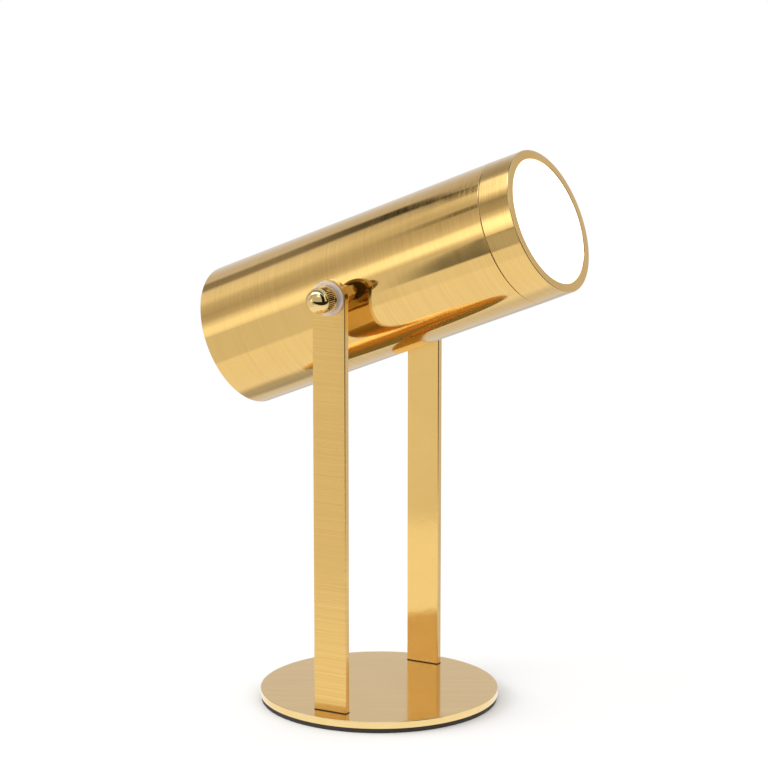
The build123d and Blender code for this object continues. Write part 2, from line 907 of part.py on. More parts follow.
with BuildPart() as board_components:
    with BuildSketch(level.offset(board_bottom)):
        with Locations(inductor_place):
            Circle(inductor_diameter / 2)
    extrude(amount=-inductor_height)
    with BuildSketch(level.offset(board_bottom)):
        with Locations(capacitor_place):
            Circle(capacitor_diameter / 2)
    extrude(amount=-capacitor_height)
    with BuildSketch(level.offset(board_bottom)):
        with Locations(*chip_places):
            Rectangle(chip_size, chip_size)
    extrude(amount=-chip_height)
save(board_components, "board_components")

with BuildPart() as usb_port:
    port_mouth = across.offset(cap_outer + usb_inset)
    with BuildSketch(port_mouth):
        with Locations((0, usb_height_middle)):
            SlotOverall(usb_width, usb_height)
    extrude(amount=usb_length)
    with BuildSketch(port_mouth):
        with Locations((0, usb_height_middle)):
            SlotOverall(usb_width - 2 * usb_shell_wall, usb_height - 2 * usb_shell_wall)
    extrude(amount=usb_length - usb_back, mode=Mode.SUBTRACT)
    with BuildSketch(port_mouth.offset(usb_tongue_setback)):
        with Locations((0, usb_height_middle)):
            Rectangle(usb_tongue_width, usb_tongue_thickness)
    extrude(amount=usb_length - usb_tongue_setback)
save(usb_port, "usb_port")

# ---------------------------------------------------------------- Rear cap and push switch

light_pipe_place = (light_pipe_offset, usb_height_middle)

with BuildPart() as rear_cap:
    with BuildSketch(across.offset(cap_outer)):
        Circle(bore_radius - easy_fit)
    extrude(amount=cap_thickness + cap_rim_length)
    chamfer(round_edges(rear_cap, bore_radius - easy_fit)[0], length=cap_edge_chamfer)
    with BuildSketch(across.offset(cap_inner)):
        Circle(bore_radius - easy_fit - cap_rim_wall)
    extrude(amount=cap_rim_length, mode=Mode.SUBTRACT)
    with BuildSketch(across.offset(cap_outer)):
        Circle(switch_diameter / 2 + easy_fit)
        with Locations((0, usb_height_middle)):
            SlotOverall(usb_width + 2 * usb_clearance, usb_height + 2 * usb_clearance)
        with Locations(light_pipe_place):
            Circle(light_pipe_diameter / 2 + running_fit)
    extrude(amount=cap_thickness, mode=Mode.SUBTRACT)
    with Locations(Plane(origin=across.offset(cap_outer).origin, x_dir=(0, 1, 0), z_dir=-forward)):
        with Locations(*[(offset, -height) for offset, height in rear_screw_places]):
            CounterSinkHole(
                m3_clear_hole,
                m3_head_diameter / 2 + easy_fit,
                depth=cap_thickness,
                counter_sink_angle=90,
            )
save(rear_cap, "rear_cap")

save(
    screws(across.offset(cap_outer), rear_screw_places, m3_long, countersunk=True),
    "rear_cap_screws",
)

with BuildPart() as light_pipe:
    with BuildSketch(across.offset(cap_outer)):
        with Locations(light_pipe_place):
            Circle(light_pipe_diameter / 2)
    extrude(amount=light_pipe_length)
save(light_pipe, "light_pipe")

with BuildPart() as switch_bezel:
    with BuildSketch(across.offset(cap_outer)):
        Circle(switch_bezel_diameter / 2)
    extrude(amount=-switch_bezel_thickness)
    chamfer(
        round_edges(switch_bezel, switch_bezel_diameter / 2)[0],
        length=switch_bezel_chamfer,
    )
    with BuildSketch(across.offset(cap_outer)):
        Circle(button_diameter / 2 + running_fit)
    extrude(amount=-switch_bezel_thickness, mode=Mode.SUBTRACT)
save(switch_bezel, "switch_bezel")

with BuildPart() as switch_body:
    collar_room = button_collar_thickness + button_travel + button_stop_gap
    stem_room = collar_room + button_stem_length
    with BuildSketch(across.offset(cap_outer)):
        Circle(switch_diameter / 2)
    extrude(amount=switch_length)
    with BuildSketch(across.offset(cap_outer)):
        Circle(button_collar_diameter / 2 + easy_fit)
    extrude(amount=collar_room, mode=Mode.SUBTRACT)
    with BuildSketch(across.offset(cap_outer)):
        Circle(button_stem_diameter / 2 + running_fit)
    extrude(amount=stem_room, mode=Mode.SUBTRACT)
save(switch_body, "switch_body")

save(
    hex_nut(
        across.offset(cap_inner),
        switch_nut_thickness,
        switch_nut_flats,
        switch_diameter / 2 + thread_fit,
    ),
    "switch_nut",
)

with BuildPart() as push_button:
    button_length = button_proud + switch_bezel_thickness
    with BuildSketch(across.offset(cap_outer)):
        Circle(button_diameter / 2)
    extrude(amount=-button_length)
    fillet(round_edges(push_button, button_diameter / 2)[0], radius=button_edge_round)
    with BuildSketch(across.offset(cap_outer - button_length)):
        Circle(button_dish_radius)
    extrude(amount=button_dish_depth, taper=45, mode=Mode.SUBTRACT)
    with BuildSketch(across.offset(cap_outer)):
        Circle(button_collar_diameter / 2)
    extrude(amount=button_collar_thickness)
    with BuildSketch(across.offset(cap_outer + button_collar_thickness)):
        Circle(button_stem_diameter / 2)
    extrude(amount=button_stem_length)
save(push_button, "push_button")

with BuildPart() as switch_terminals:
    with BuildSketch(across.offset(cap_outer + switch_length)):
        with Locations((-terminal_offset, 0), (terminal_offset, 0)):
            Rectangle(terminal_size, terminal_size)
    extrude(amount=terminal_length)
save(switch_terminals, "switch_terminals")

# ---------------------------------------------------------------- Wires

led_wire_points = (
    (sink_front, led_wire_height),
    (led_wire_rear, led_wire_height),
    (led_wire_rear, board_bottom),
)
battery_wire_points = (
    (rear_contact, cell_height),
    (battery_wire_station, cell_height),
    (battery_wire_station, board_top),
)
switch_wire_points = (
    (cap_outer + switch_length + terminal_length, 0),
    (switch_wire_station, 0),
    (switch_wire_station, board_top),
)
# Each wire: its name, the way it runs, how far right of the middle, and its bends.
wires = (
    ("led_wire_red", led_wire_points, led_wire_offset, short_wire_bend),
    ("led_wire_black", led_wire_points, -led_wire_offset, short_wire_bend),
    ("battery_wire_red", battery_wire_points, cell_offset, wire_bend),
    ("battery_wire_black", battery_wire_points, -cell_offset, wire_bend),
    ("switch_wire_blue", switch_wire_points, terminal_offset, wire_bend),
    ("switch_wire_white", switch_wire_points, -terminal_offset, wire_bend),
)

for wire_name, points, rightward, bend in wires:
    save(wire(along.offset(rightward), points, bend), wire_name)
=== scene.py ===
"""Dresses the tabletop searchlight lamp: a brushed brass tube head with a lit front, which tilts
between two flat uprights on a round base, with a clamp knob on each side."""

from __future__ import annotations

import json
import logging
import math
from dataclasses import dataclass, replace
from enum import Enum
from typing import Callable, Sequence, Union

import bmesh
import bpy
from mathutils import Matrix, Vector


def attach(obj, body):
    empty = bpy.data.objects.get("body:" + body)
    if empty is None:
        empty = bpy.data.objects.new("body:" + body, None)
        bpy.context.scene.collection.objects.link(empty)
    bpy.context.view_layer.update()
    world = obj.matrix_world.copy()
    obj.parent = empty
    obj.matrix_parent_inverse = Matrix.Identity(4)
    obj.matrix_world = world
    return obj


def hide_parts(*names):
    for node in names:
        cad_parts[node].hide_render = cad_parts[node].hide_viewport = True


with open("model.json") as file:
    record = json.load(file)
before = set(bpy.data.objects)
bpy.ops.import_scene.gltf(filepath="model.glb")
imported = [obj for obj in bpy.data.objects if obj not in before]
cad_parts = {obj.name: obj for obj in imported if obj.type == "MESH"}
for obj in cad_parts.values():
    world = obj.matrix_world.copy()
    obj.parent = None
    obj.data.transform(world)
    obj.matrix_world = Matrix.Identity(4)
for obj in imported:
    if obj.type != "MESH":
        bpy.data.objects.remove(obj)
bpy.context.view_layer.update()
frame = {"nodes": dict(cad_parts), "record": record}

logging.basicConfig(level=logging.INFO, format="%(name)s: %(message)s")
log = logging.getLogger("searchlight")

Piece = bpy.types.Object
Material = bpy.types.Material
Socket = bpy.types.NodeSocket
Point2 = tuple[float, float]
Triple = tuple[float, float, float]
Colour = tuple[float, float, float]
Value = Union[float, Socket]
Paint = Union[Colour, Socket]
Fade = tuple[float, float, Point2]  # where it starts and ends, and its levels there

MM = 0.001
PIVOT = Vector((0.0, 0.0, 236.0)) * MM
TILT = math.radians(22.0)
FORWARD = Vector((math.cos(TILT), 0.0, math.sin(TILT)))
UP_NORMAL = Vector((-math.sin(TILT), 0.0, math.cos(TILT)))
LEFTWARD = Vector((0.0, 1.0, 0.0))
PLATE_GRAIN = math.radians(29.0)  # the way of the plate's brush lines, from X
BAR_WIDTH = 20.0  # of the uprights, in millimetres
BAR_INNER = 51.6  # from the lamp's middle to their inner faces
BAR_OUTER = 55.6  # and to their outer faces
WASHER_OUTER = 57.6  # and to the clear washers' outer faces
GROOVE_DEPTH = "groove_depth"  # the attribute that the knurl leaves for its finish
BRUSH_MAP = "brush"  # the UV map, in metres, whose U runs across a brushed finish's lines
# Painted shade: a dark line at the uprights' feet stands in for their contact shadow on the plate.
FOOT_SHADE_HEIGHT = 6.95 * MM  # painted shade: the uprights are darkened below it, where they meet the plate
FOOT_SHADE_FADE = 0.2 * MM  # above that height
FOOT_SHADE_SHARE = 0.92
FOOT_SHADE_COLOUR: Colour = (0.02, 0.012, 0.005)
# Painted shade round the pivot, on the bars' inner faces near the head.
PIVOT_SHADE_FADE = 1.08  # where the painted shade round the pivot fades out, in its radius
PIVOT_SHADE_SHARE = 0.9
PIVOT_SHADE_COLOUR: Colour = (0.34, 0.32, 0.23)
ON_AXIS = 1e-6  # the radius, in millimetres, below which an outline's point lies on its axis
FACING = 0.8  # how squarely one of the plate's flat faces looks up or down
CLEAR_OF = 1.0  # how far a cutter stands out of what it cuts, in millimetres
NOT_NOUGHT = 1e-6  # keeps a division from nought
GREY: Point2 = (0.3, 0.7)  # the levels that most of a noise lies between
CLOUD_LAYERS = 2.0  # how many finer layers a slow change has
STREAK_LAYERS = 3.0
GRAIN_LAYERS = 4.0
GRITTY = 0.6  # how strong the finer layers of a grain are


class Side(Enum):
    """The two sides of the lamp, with the way each faces along Y."""

    LEFT = 1
    RIGHT = -1

    @property
    def word(self) -> str:
        """The side's name as the frame's nodes have it."""
        return self.name.lower()


class Body(Enum):
    """The frame's bodies that pieces ride on."""

    STAND = "stand"
    HEAD = "head"
    WASHER_LEFT = "washer_left"
    WASHER_RIGHT = "washer_right"
    KNOB_LEFT = "knob_left"
    KNOB_RIGHT = "knob_right"


# ---------------------------------------------------------------- Node graphs


class Graph:
    """A node tree that is filled in code, one call for each node."""

    def __init__(self, tree: bpy.types.NodeTree) -> None:
        """Starts with an empty tree."""
        self.tree = tree
        tree.nodes.clear()

    def node(self, kind: str, settings: dict | None = None, **sockets: object) -> bpy.types.Node:
        """Adds a node and fills its inputs.

        Args:
            kind: the node's type name.
            settings: attributes of the node itself.
            **sockets: input values or output sockets to link, by input name. A name that starts
                with "in" and a number means the input at that place.

        Returns:
            The new node.
        """
        made = self.tree.nodes.new(kind)
        for name, value in (settings or {}).items():
            setattr(made, name, value)
        for name, value in sockets.items():
            if name.startswith("in") and name[2:].isdigit():
                socket = made.inputs[int(name[2:])]
            else:
                socket = made.inputs[name.replace("_", " ")]
            if isinstance(value, bpy.types.NodeSocket):
                self.tree.links.new(value, socket)
            else:
                socket.default_value = value
        return made

    def math(self, operation: str, *values: Value) -> Socket:
        """Adds a Math node on numbers or sockets and returns its result."""
        places = {f"in{i}": value for i, value in enumerate(values)}
        return self.node("ShaderNodeMath", {"operation": operation}, **places).outputs[0]

    def plus(self, first: Value, second: Value) -> Socket:
        """Adds two numbers or sockets."""
        return self.math("ADD", first, second)

    def times(self, first: Value, second: Value) -> Socket:
        """Multiplies two numbers or sockets."""
        return self.math("MULTIPLY", first, second)

    def less(self, level: Value, share: Value) -> Socket:
        """Takes a share, from nought to one, away from a level."""
        return self.times(level, self.math("SUBTRACT", 1.0, share))

    def vector(self, operation: str, *values: object) -> Socket:
        """Adds a Vector Math node.

        Args:
            operation: what it does.
            *values: vectors, or sockets that give them.

        Returns:
            Its result, which is a number where it measures something.
        """
        places = {f"in{i}": value for i, value in enumerate(values)}
        made = self.node("ShaderNodeVectorMath", {"operation": operation}, **places)
        measures = operation in ("DOT_PRODUCT", "LENGTH", "DISTANCE")
        return made.outputs["Value" if measures else "Vector"]

    def span(
        self, value: Value, low: Value, high: Value, to: Sequence[Value] = (0.0, 1.0)
    ) -> Socket:
        """Maps a value from one range onto another, smoothly, and no further than its ends.

        Args:
            value: the value.
            low: where the range starts.
            high: where it ends.
            to: the results at the start and at the end.

        Returns:
            The result.
        """
        made = self.node(
            "ShaderNodeMapRange",
            {"interpolation_type": "SMOOTHSTEP"},
            in0=value, in1=low, in2=high, in3=to[0], in4=to[1],
        )
        return made.outputs[0]

    def window(self, value: Value, low: float, high: float, soft: float) -> Socket:
        """Gives one inside a range and nought outside it, with ends that are soft both ways."""
        before_end = self.span(value, high - soft, high + soft, (1.0, 0.0))
        return self.times(self.span(value, low - soft, low + soft), before_end)

    def ramp(self, value: Value, stops: Sequence[tuple[float, Colour]]) -> Socket:
        """Adds a colour ramp.

        Args:
            value: the number that it reads.
            stops: places from 0 to 1 and their colours, in order.

        Returns:
            The colour output.
        """
        made = self.node("ShaderNodeValToRGB", in0=value)
        elements = made.color_ramp.elements
        while len(elements) < len(stops):
            elements.new(1.0)
        for element, (place, colour) in zip(elements, stops, strict=True):
            element.position = place
            element.color = (*colour, 1.0)
        return made.outputs[0]

    def blend(self, share: Value, first: Paint, second: Paint) -> Socket:
        """Mixes two colours.

        Args:
            share: how much of the second there is.
            first: the colour where the share is nought.
            second: the colour where it is one.

        Returns:
            The mixed colour.
        """
        made = self.node("ShaderNodeMix", {"data_type": "RGBA"}, in0=share)
        for place, paint in ((6, first), (7, second)):
            if isinstance(paint, bpy.types.NodeSocket):
                self.tree.links.new(paint, made.inputs[place])
            else:
                made.inputs[place].default_value = (*paint, 1.0)
        return made.outputs[2]

    def noise(self, place: Socket, scale: float, detail: float, rough: float = 0.5) -> Socket:
        """Adds a noise texture with so many grains in a metre and returns its grey level."""
        texture = {"Scale": scale, "Detail": detail, "Roughness": rough}
        return self.node("ShaderNodeTexNoise", Vector=place, **texture).outputs["Fac"]


class MaterialGraph(Graph):
    """A material's node tree, with the object's own coordinates at hand."""

    def __init__(self, name: str) -> None:
        """Makes an empty material.

        Args:
            name: its name.
        """
        self.material = bpy.data.materials.new(name)
        self.material.use_nodes = True
        super().__init__(self.material.node_tree)
        self.place = self.node("ShaderNodeTexCoord").outputs["Object"]

    def surface(self, shader: Socket) -> Material:
        """Ends the tree in a shader and returns the material."""
        self.node("ShaderNodeOutputMaterial", Surface=shader)
        return self.material

    def principled(self, **sockets: object) -> Material:
        """Ends the tree in a Principled shader with these inputs and returns the material."""
        return self.surface(self.node("ShaderNodeBsdfPrincipled", **sockets).outputs[0])

    def painted_foot_shade(self, colour: Paint, seam: float) -> Paint:
        """Paints shade below a height: a dark line for the contact shadow where a part stands on
        another.

        Args:
            colour: the colour to darken.
            seam: the height, or nought for no painted shade.

        Returns:
            The colour, or a socket with the darkened one.
        """
        if not seam:
            return colour
        # painted contact shade, dark below the seam height
        height = self.node("ShaderNodeSeparateXYZ", in0=self.place).outputs[2]
        share = self.span(height, seam, seam + FOOT_SHADE_FADE, (FOOT_SHADE_SHARE, 0.0))
        return self.blend(share, colour, FOOT_SHADE_COLOUR)

    def painted_pivot_shade(self, colour: Paint, radius: float) -> Paint:
        """Paints shade into a metal's colour round the pivot, where the bars' inner faces sit close
        to the head.

        Args:
            colour: the colour of the lacquered metal.
            radius: how far from the pivot's axis the shade is painted, or nought for nowhere.

        Returns:
            The colour, or a socket with the shaded one.
        """
        if not radius:
            return colour
        # painted shade, darkest near the pivot's axis and fading out past the radius
        local = self.vector("SUBTRACT", self.place, tuple(PIVOT))
        distance = self.vector("LENGTH", self.vector("MULTIPLY", local, (1.0, 0.0, 1.0)))
        share = self.span(distance, radius, radius * PIVOT_SHADE_FADE, (PIVOT_SHADE_SHARE, 0.0))
        return self.blend(share, colour, PIVOT_SHADE_COLOUR)


# ---------------------------------------------------------------- Finishes


@dataclass(frozen=True)
class BrushedBrass:
    """Lacquered brass with fine straight or turned brush lines.

    Its own X runs across the lines. origin and turn place that frame on the piece.
    """

    name: str
    bright: Colour
    deep: Colour
    turn: Triple
    origin: Triple = (0.0, 0.0, 0.0)
    roughness: float = 0.065
    anisotropy: float = 0.75
    line_width: float = 0.42 * MM
    line_length: float = 45.0 * MM
    streak_width: float = 6.0  # in line widths
    streak_length: float = 1.6  # in line lengths
    cloud_size: Point2 = (28.0 * MM, 40.0 * MM)
    relief: float = 0.0022 * MM
    streak_relief: float = 0.003 * MM
    fine_share: float = 0.75  # of the fine lines in the colour, next to the streaks
    fine_range: Point2 = (0.25, 0.75)  # the levels of the lines that the colours lie at
    gloss_change: float = 0.3
    cloud_change: float = 0.02
    lacquer: float = 0.7
    lacquer_roughness: float = 0.06
    seam: float = 0.0  # the height up to which painted shade darkens the metal, where it meets the plate

    def lines(self, graph: MaterialGraph, width: float, length: float, detail: float) -> Socket:
        """Draws noise out into lines.

        Args:
            graph: the material's graph.
            width: how wide a line is.
            length: how long a line is.
            detail: how many finer layers the noise has.

        Returns:
            The lines' grey level.
        """
        mapped = graph.node(
            "ShaderNodeMapping",
            {"vector_type": "TEXTURE"},
            Vector=graph.place,
            Location=self.origin,
            Rotation=self.turn,
            Scale=(width, length, length),
        )
        return graph.noise(mapped.outputs[0], 1.0, detail, GRITTY)

    def build(self) -> Material:
        """Makes the material: fine lines, broader streaks, a little cloudiness in the lacquer, and
        painted foot shade.

        Returns:
            The material.
        """
        graph = MaterialGraph(self.name)
        fine = self.lines(graph, self.line_width, self.line_length, CLOUD_LAYERS)
        wide, long = self.line_width * self.streak_width, self.line_length * self.streak_length
        streak = self.lines(graph, wide, long, STREAK_LAYERS)
        cloud = self.lines(graph, *self.cloud_size, CLOUD_LAYERS)
        shade = graph.plus(
            graph.times(graph.span(fine, *self.fine_range), self.fine_share),
            graph.times(graph.span(streak, *self.fine_range), 1.0 - self.fine_share),
        )
        change = self.roughness * self.gloss_change
        rough = graph.plus(
            graph.span(fine, *GREY, (self.roughness + change, self.roughness - change)),
            graph.span(cloud, *GREY, (-self.cloud_change, self.cloud_change)),
        )
        broad = graph.node("ShaderNodeBump", Distance=self.streak_relief, Height=streak)
        bump = graph.node(
            "ShaderNodeBump", Distance=self.relief, Height=fine, Normal=broad.outputs[0]
        )
        tangent = graph.node("ShaderNodeTangent", {"direction_type": "UV_MAP", "uv_map": BRUSH_MAP})
        return graph.principled(
            # painted shade at the foot, below the seam height
            Base_Color=graph.painted_foot_shade(graph.blend(shade, self.deep, self.bright), self.seam),
            Metallic=1.0,
            Roughness=rough,
            Anisotropic=self.anisotropy,
            Tangent=tangent.outputs[0],
            Normal=bump.outputs[0],
            Coat_Weight=self.lacquer,
            Coat_Roughness=self.lacquer_roughness,
        )


@dataclass(frozen=True)
class PlainFinish:
    """A finish with no direction: polished or plain metal, moulded plastic, rubber or wire."""

    name: str
    bright: Colour
    deep: Colour
    roughness: float
    metallic: float = 0.0
    grain: float = 1.2 * MM
    relief: float = 0.004 * MM
    grain_share: float = 0.4  # of the grain in the colour, next to its slow changes
    cloud: float = 0.12  # the grain's size, in that of the slow changes of colour and gloss
    gloss_change: float = 0.15
    coat: float = 0.0
    coat_roughness: float = 0.06
    specular: float = 0.5
    grooves: str = ""  # the attribute that says how deep in a groove a point lies
    tarnish: float = 0.08  # how much of its colour a groove keeps
    groove_fade: Point2 = (0.05, 0.55)  # the depths that it darkens between
    seam: float = 0.0  # the height up to which painted shade darkens the finish, where it meets the plate
    pivot_shade_radius: float = 0.0  # how far from the pivot's axis painted shade darkens the metal

    def build(self) -> Material:
        """Makes the material: slow colour change, uneven gloss, a fine grain, dark grooves, and
        painted shade at the foot and round the pivot.

        Returns:
            The material.
        """
        graph = MaterialGraph(self.name)
        grain = graph.noise(graph.place, 1.0 / self.grain, GRAIN_LAYERS, GRITTY)
        cloud = graph.noise(graph.place, self.cloud / self.grain, CLOUD_LAYERS)
        shade = graph.plus(
            graph.times(graph.span(grain, *GREY), self.grain_share),
            graph.times(graph.span(cloud, *GREY), 1.0 - self.grain_share),
        )
        # painted shade at the foot, below the seam height
        colour = graph.painted_foot_shade(graph.blend(shade, self.deep, self.bright), self.seam)
        # painted shade round the pivot
        colour = graph.painted_pivot_shade(colour, self.pivot_shade_radius)
        if self.grooves:
            depth = graph.node("ShaderNodeAttribute", {"attribute_name": self.grooves})
            dark = tuple(channel * self.tarnish for channel in self.deep)
            sunk = graph.span(depth.outputs["Fac"], *self.groove_fade)
            colour = graph.blend(sunk, colour, dark)
        change = self.roughness * self.gloss_change
        bump = graph.node("ShaderNodeBump", Distance=self.relief, Height=grain)
        return graph.principled(
            Base_Color=colour,
            Metallic=self.metallic,
            Roughness=graph.span(cloud, *GREY, (self.roughness - change, self.roughness + change)),
            Coat_Weight=self.coat,
            Coat_Roughness=self.coat_roughness,
            Specular_IOR_Level=self.specular,
            Normal=bump.outputs[0],
        )


@dataclass(frozen=True)
class ClearPlastic:
    """Soft clear plastic with a slight lilac cast."""

    name: str
    tint: Colour
    deep: Colour
    roughness: Point2 = (0.028, 0.056)
    ior: float = 1.04
    clarity: float = 0.62
    cloud: float = 260.0

    def build(self) -> Material:
        """Makes the material: see-through, a little cloudy and unevenly glossy.

        Returns:
            The material.
        """
        graph = MaterialGraph(self.name)
        cloud = graph.noise(graph.place, self.cloud, STREAK_LAYERS)
        return graph.principled(
            Base_Color=graph.blend(graph.span(cloud, *GREY), self.deep, self.tint),
            Roughness=graph.span(cloud, *GREY, self.roughness),
            IOR=self.ior,
            Transmission_Weight=self.clarity,
        )


@dataclass(frozen=True)
class LitSurface:
    """A surface that glows: opal acrylic in front of the lamps, or the lamps' phosphor."""

    name: str
    middle: Colour
    edge: Colour
    strength: float
    reach: float  # from the head's axis to where the edge colour is full, in metres
    fade_from: float = 0.72  # in that reach
    roughness: float = 0.35
    cloud: float = 90.0
    cloud_share: float = 0.04

    def build(self) -> Material:
        """Makes the material: brightest in the middle, a touch warmer and softer at the edge.

        Returns:
            The material.
        """
        graph = MaterialGraph(self.name)
        local = graph.vector("SUBTRACT", graph.place, tuple(PIVOT))
        distance = graph.vector("LENGTH", graph.vector("CROSS_PRODUCT", local, tuple(FORWARD)))
        cloud = graph.span(graph.noise(graph.place, self.cloud, CLOUD_LAYERS), *GREY)
        share = graph.plus(
            graph.span(distance, self.reach * self.fade_from, self.reach),
            graph.times(cloud, self.cloud_share),
        )
        glow = graph.blend(share, self.middle, self.edge)
        return graph.principled(
            Base_Color=glow,
            Roughness=self.roughness,
            Emission_Color=glow,
            Emission_Strength=self.strength,
        )


BRASS_BRIGHT: Colour = (0.88, 0.58, 0.19)
BRASS_DEEP: Colour = (0.775, 0.495, 0.148)
ACROSS_HEAD: Triple = (0.0, -TILT, 0.0)
UP_THE_BAR: Triple = (0.0, -math.pi / 2, 0.0)
ACROSS_PLATE: Triple = (0.0, 0.0, PLATE_GRAIN + math.pi / 2)
TURNED_BRASS = PlainFinish(
    "brass_turned_rear_cap", BRASS_BRIGHT, BRASS_DEEP, 0.24, metallic=1.0,
    grain=0.6 * MM, relief=0.001 * MM, coat=0.6,
)
POLISHED_BRASS = PlainFinish(
    "brass_polished", (0.90, 0.655, 0.285), (0.87, 0.62, 0.25), 0.05, metallic=1.0,
    grain=3.0 * MM, relief=0.001 * MM,
)
STEEL = PlainFinish(
    "steel_zinc_plated", (0.66, 0.67, 0.70), (0.52, 0.52, 0.54), 0.30, metallic=1.0
)
PLAIN_FINISHES: dict[str, PlainFinish] = {
    "pad_rubber": PlainFinish(
        "rubber_black_brown", (0.040, 0.030, 0.021), (0.020, 0.013, 0.009), 0.75, relief=0.02 * MM
    ),
    "dark_fibre": PlainFinish("fibre_dark", (0.07, 0.045, 0.03), (0.03, 0.02, 0.014), 0.6),
    "cap_brass": TURNED_BRASS,
    "polished_brass": POLISHED_BRASS,
    "zinc_steel": STEEL,
    "aluminium": replace(
        STEEL, name="aluminium_plain", bright=(0.74, 0.74, 0.76), deep=(0.62, 0.62, 0.64),
        roughness=0.36,
    ),
    "reflector_metal": replace(
        STEEL, name="aluminium_bright", bright=(0.90, 0.90, 0.91), deep=(0.84, 0.84, 0.85),
        roughness=0.14,
    ),
    "nylon": PlainFinish("nylon_natural", (0.86, 0.84, 0.78), (0.78, 0.76, 0.70), 0.45),
    "black_plastic": PlainFinish(
        "plastic_black", (0.035, 0.035, 0.038), (0.02, 0.02, 0.022), 0.42
    ),
    "board_green": PlainFinish(
        "solder_mask_green", (0.03, 0.20, 0.08), (0.02, 0.13, 0.05), 0.30
    ),
    "foam_tape": PlainFinish("foam_black", (0.05, 0.05, 0.05), (0.02, 0.02, 0.02), 0.9),
    "cell_wrap": PlainFinish("wrap_blue", (0.03, 0.11, 0.36), (0.02, 0.08, 0.27), 0.25, coat=0.4),
}
WIRES: dict[str, tuple[Colour, Colour]] = {
    "wire_red": ((0.50, 0.02, 0.015), (0.38, 0.015, 0.01)),
    "wire_black": ((0.02, 0.02, 0.02), (0.01, 0.01, 0.01)),
    "wire_blue": ((0.02, 0.07, 0.40), (0.015, 0.05, 0.30)),
    "wire_white": ((0.80, 0.80, 0.77), (0.70, 0.70, 0.67)),
}
WIRE_ROUGHNESS = 0.35


class Finishes:
    """Every finish on the lamp, built once. by_slot has those that the record's slots name."""

    def __init__(self) -> None:
        """Builds the materials."""
        head = BrushedBrass(
            "brass_brushed_round_the_tube", BRASS_BRIGHT, BRASS_DEEP, ACROSS_HEAD, tuple(PIVOT)
        )
        self.ring = replace(
            head, name="brass_brushed_round_the_ring",
            roughness=0.075, anisotropy=0.6, streak_relief=0.004 * MM,
        ).build()
        # The bars' inner faces: painted shade at their feet and painted shade round the pivot.
        self.sheet = PlainFinish(
            "brass_rolled_bar_face", (0.92, 0.60, 0.19), (0.88, 0.57, 0.175), 0.09, metallic=1.0,
            grain=5.0 * MM, relief=0.03 * MM, coat=0.5, seam=FOOT_SHADE_HEIGHT, pivot_shade_radius=15.6 * MM,
        ).build()
        self.rim = PlainFinish(
            "brass_turned_plate_edge", (0.94, 0.70, 0.32), (0.90, 0.65, 0.27), 0.16, metallic=1.0,
            grain=0.8 * MM, relief=0.001 * MM, coat=0.6,
        ).build()
        self.knurled = replace(
            POLISHED_BRASS, name="brass_polished_and_knurled", grooves=GROOVE_DEPTH
        ).build()
        self.by_slot = {slot: finish.build() for slot, finish in PLAIN_FINISHES.items()}
        for slot, (bright, deep) in WIRES.items():
            self.by_slot[slot] = PlainFinish(slot, bright, deep, WIRE_ROUGHNESS).build()
        self.by_slot |= {
            "tube_brass": head.build(),
            # the bars carry painted shade at their feet
            "bar_brass": BrushedBrass(
                "brass_brushed_across_the_bar", (0.88, 0.567, 0.174), (0.775, 0.483, 0.134),
                UP_THE_BAR, roughness=0.20, line_width=0.35 * MM, line_length=90.0 * MM,
                relief=0.0015 * MM, streak_relief=0.0006 * MM, seam=FOOT_SHADE_HEIGHT,
            ).build(),
            "plate_brass": BrushedBrass(
                "brass_brushed_straight_on_the_plate", BRASS_BRIGHT, BRASS_DEEP, ACROSS_PLATE,
                roughness=0.155, anisotropy=0.85, line_length=120.0 * MM,
                relief=0.0008 * MM, streak_relief=0.002 * MM,
            ).build(),
            "clear_plastic": ClearPlastic(
                "plastic_clear_washer", (1.0, 0.94, 0.90), (0.96, 0.89, 0.84)
            ).build(),
            "opal": LitSurface(
                "acrylic_opal_lit", (1.0, 1.0, 0.99), (1.0, 0.96, 0.84), 0.95, 34.5 * MM
            ).build(),
            "lit_phosphor": LitSurface(
                "phosphor_lit", (1.0, 0.93, 0.72), (1.0, 0.90, 0.66), 1.2, 20.0 * MM
            ).build(),
        }


# ---------------------------------------------------------------- Shapes


@dataclass(frozen=True)
class Corner:
    """A corner of a turned outline, in millimetres: its radius, its place along the axis, and the
    radius that it is rounded to."""

    radius: float
    along: float
    rounding: float = 0.0


def rounded(corners: Sequence[Corner], steps: int = 5) -> list[Point2]:
    """Rounds an outline's corners.

    Args:
        corners: the closed outline, or one whose first and last corners lie on the axis.
        steps: how many pieces each round is made of.

    Returns:
        The outline's points, in order.
    """
    points: list[Point2] = []
    for i, corner in enumerate(corners):
        at = Vector((corner.radius, corner.along))
        if corner.rounding <= 0:
            points.append((at.x, at.y))
            continue
        before = corners[i - 1]
        after = corners[(i + 1) % len(corners)]
        back = (Vector((before.radius, before.along)) - at).normalized()
        on = (Vector((after.radius, after.along)) - at).normalized()
        half = back.angle(on) / 2
        middle = at + (back + on).normalized() * (corner.rounding / math.sin(half))
        start = at + back * (corner.rounding / math.tan(half)) - middle
        end = at + on * (corner.rounding / math.tan(half)) - middle
        sweep = start.angle_signed(end)
        for k in range(steps + 1):
            turned_by = -sweep * k / steps
            cos, sin = math.cos(turned_by), math.sin(turned_by)
            arm = Vector((start.x * cos - start.y * sin, start.x * sin + start.y * cos))
            points.append((middle.x + arm.x, middle.y + arm.y))
    return points


def hoop(
    inner: float, outer: float, start: float, end: float, edge: float = 0.0
) -> list[Point2]:
    """Outlines a plain ring, or a disc, in millimetres, with its outer edges rounded."""
    outer_corners = (Corner(outer, start, edge), Corner(outer, end, edge))
    return rounded([Corner(inner, start), *outer_corners, Corner(inner, end)])


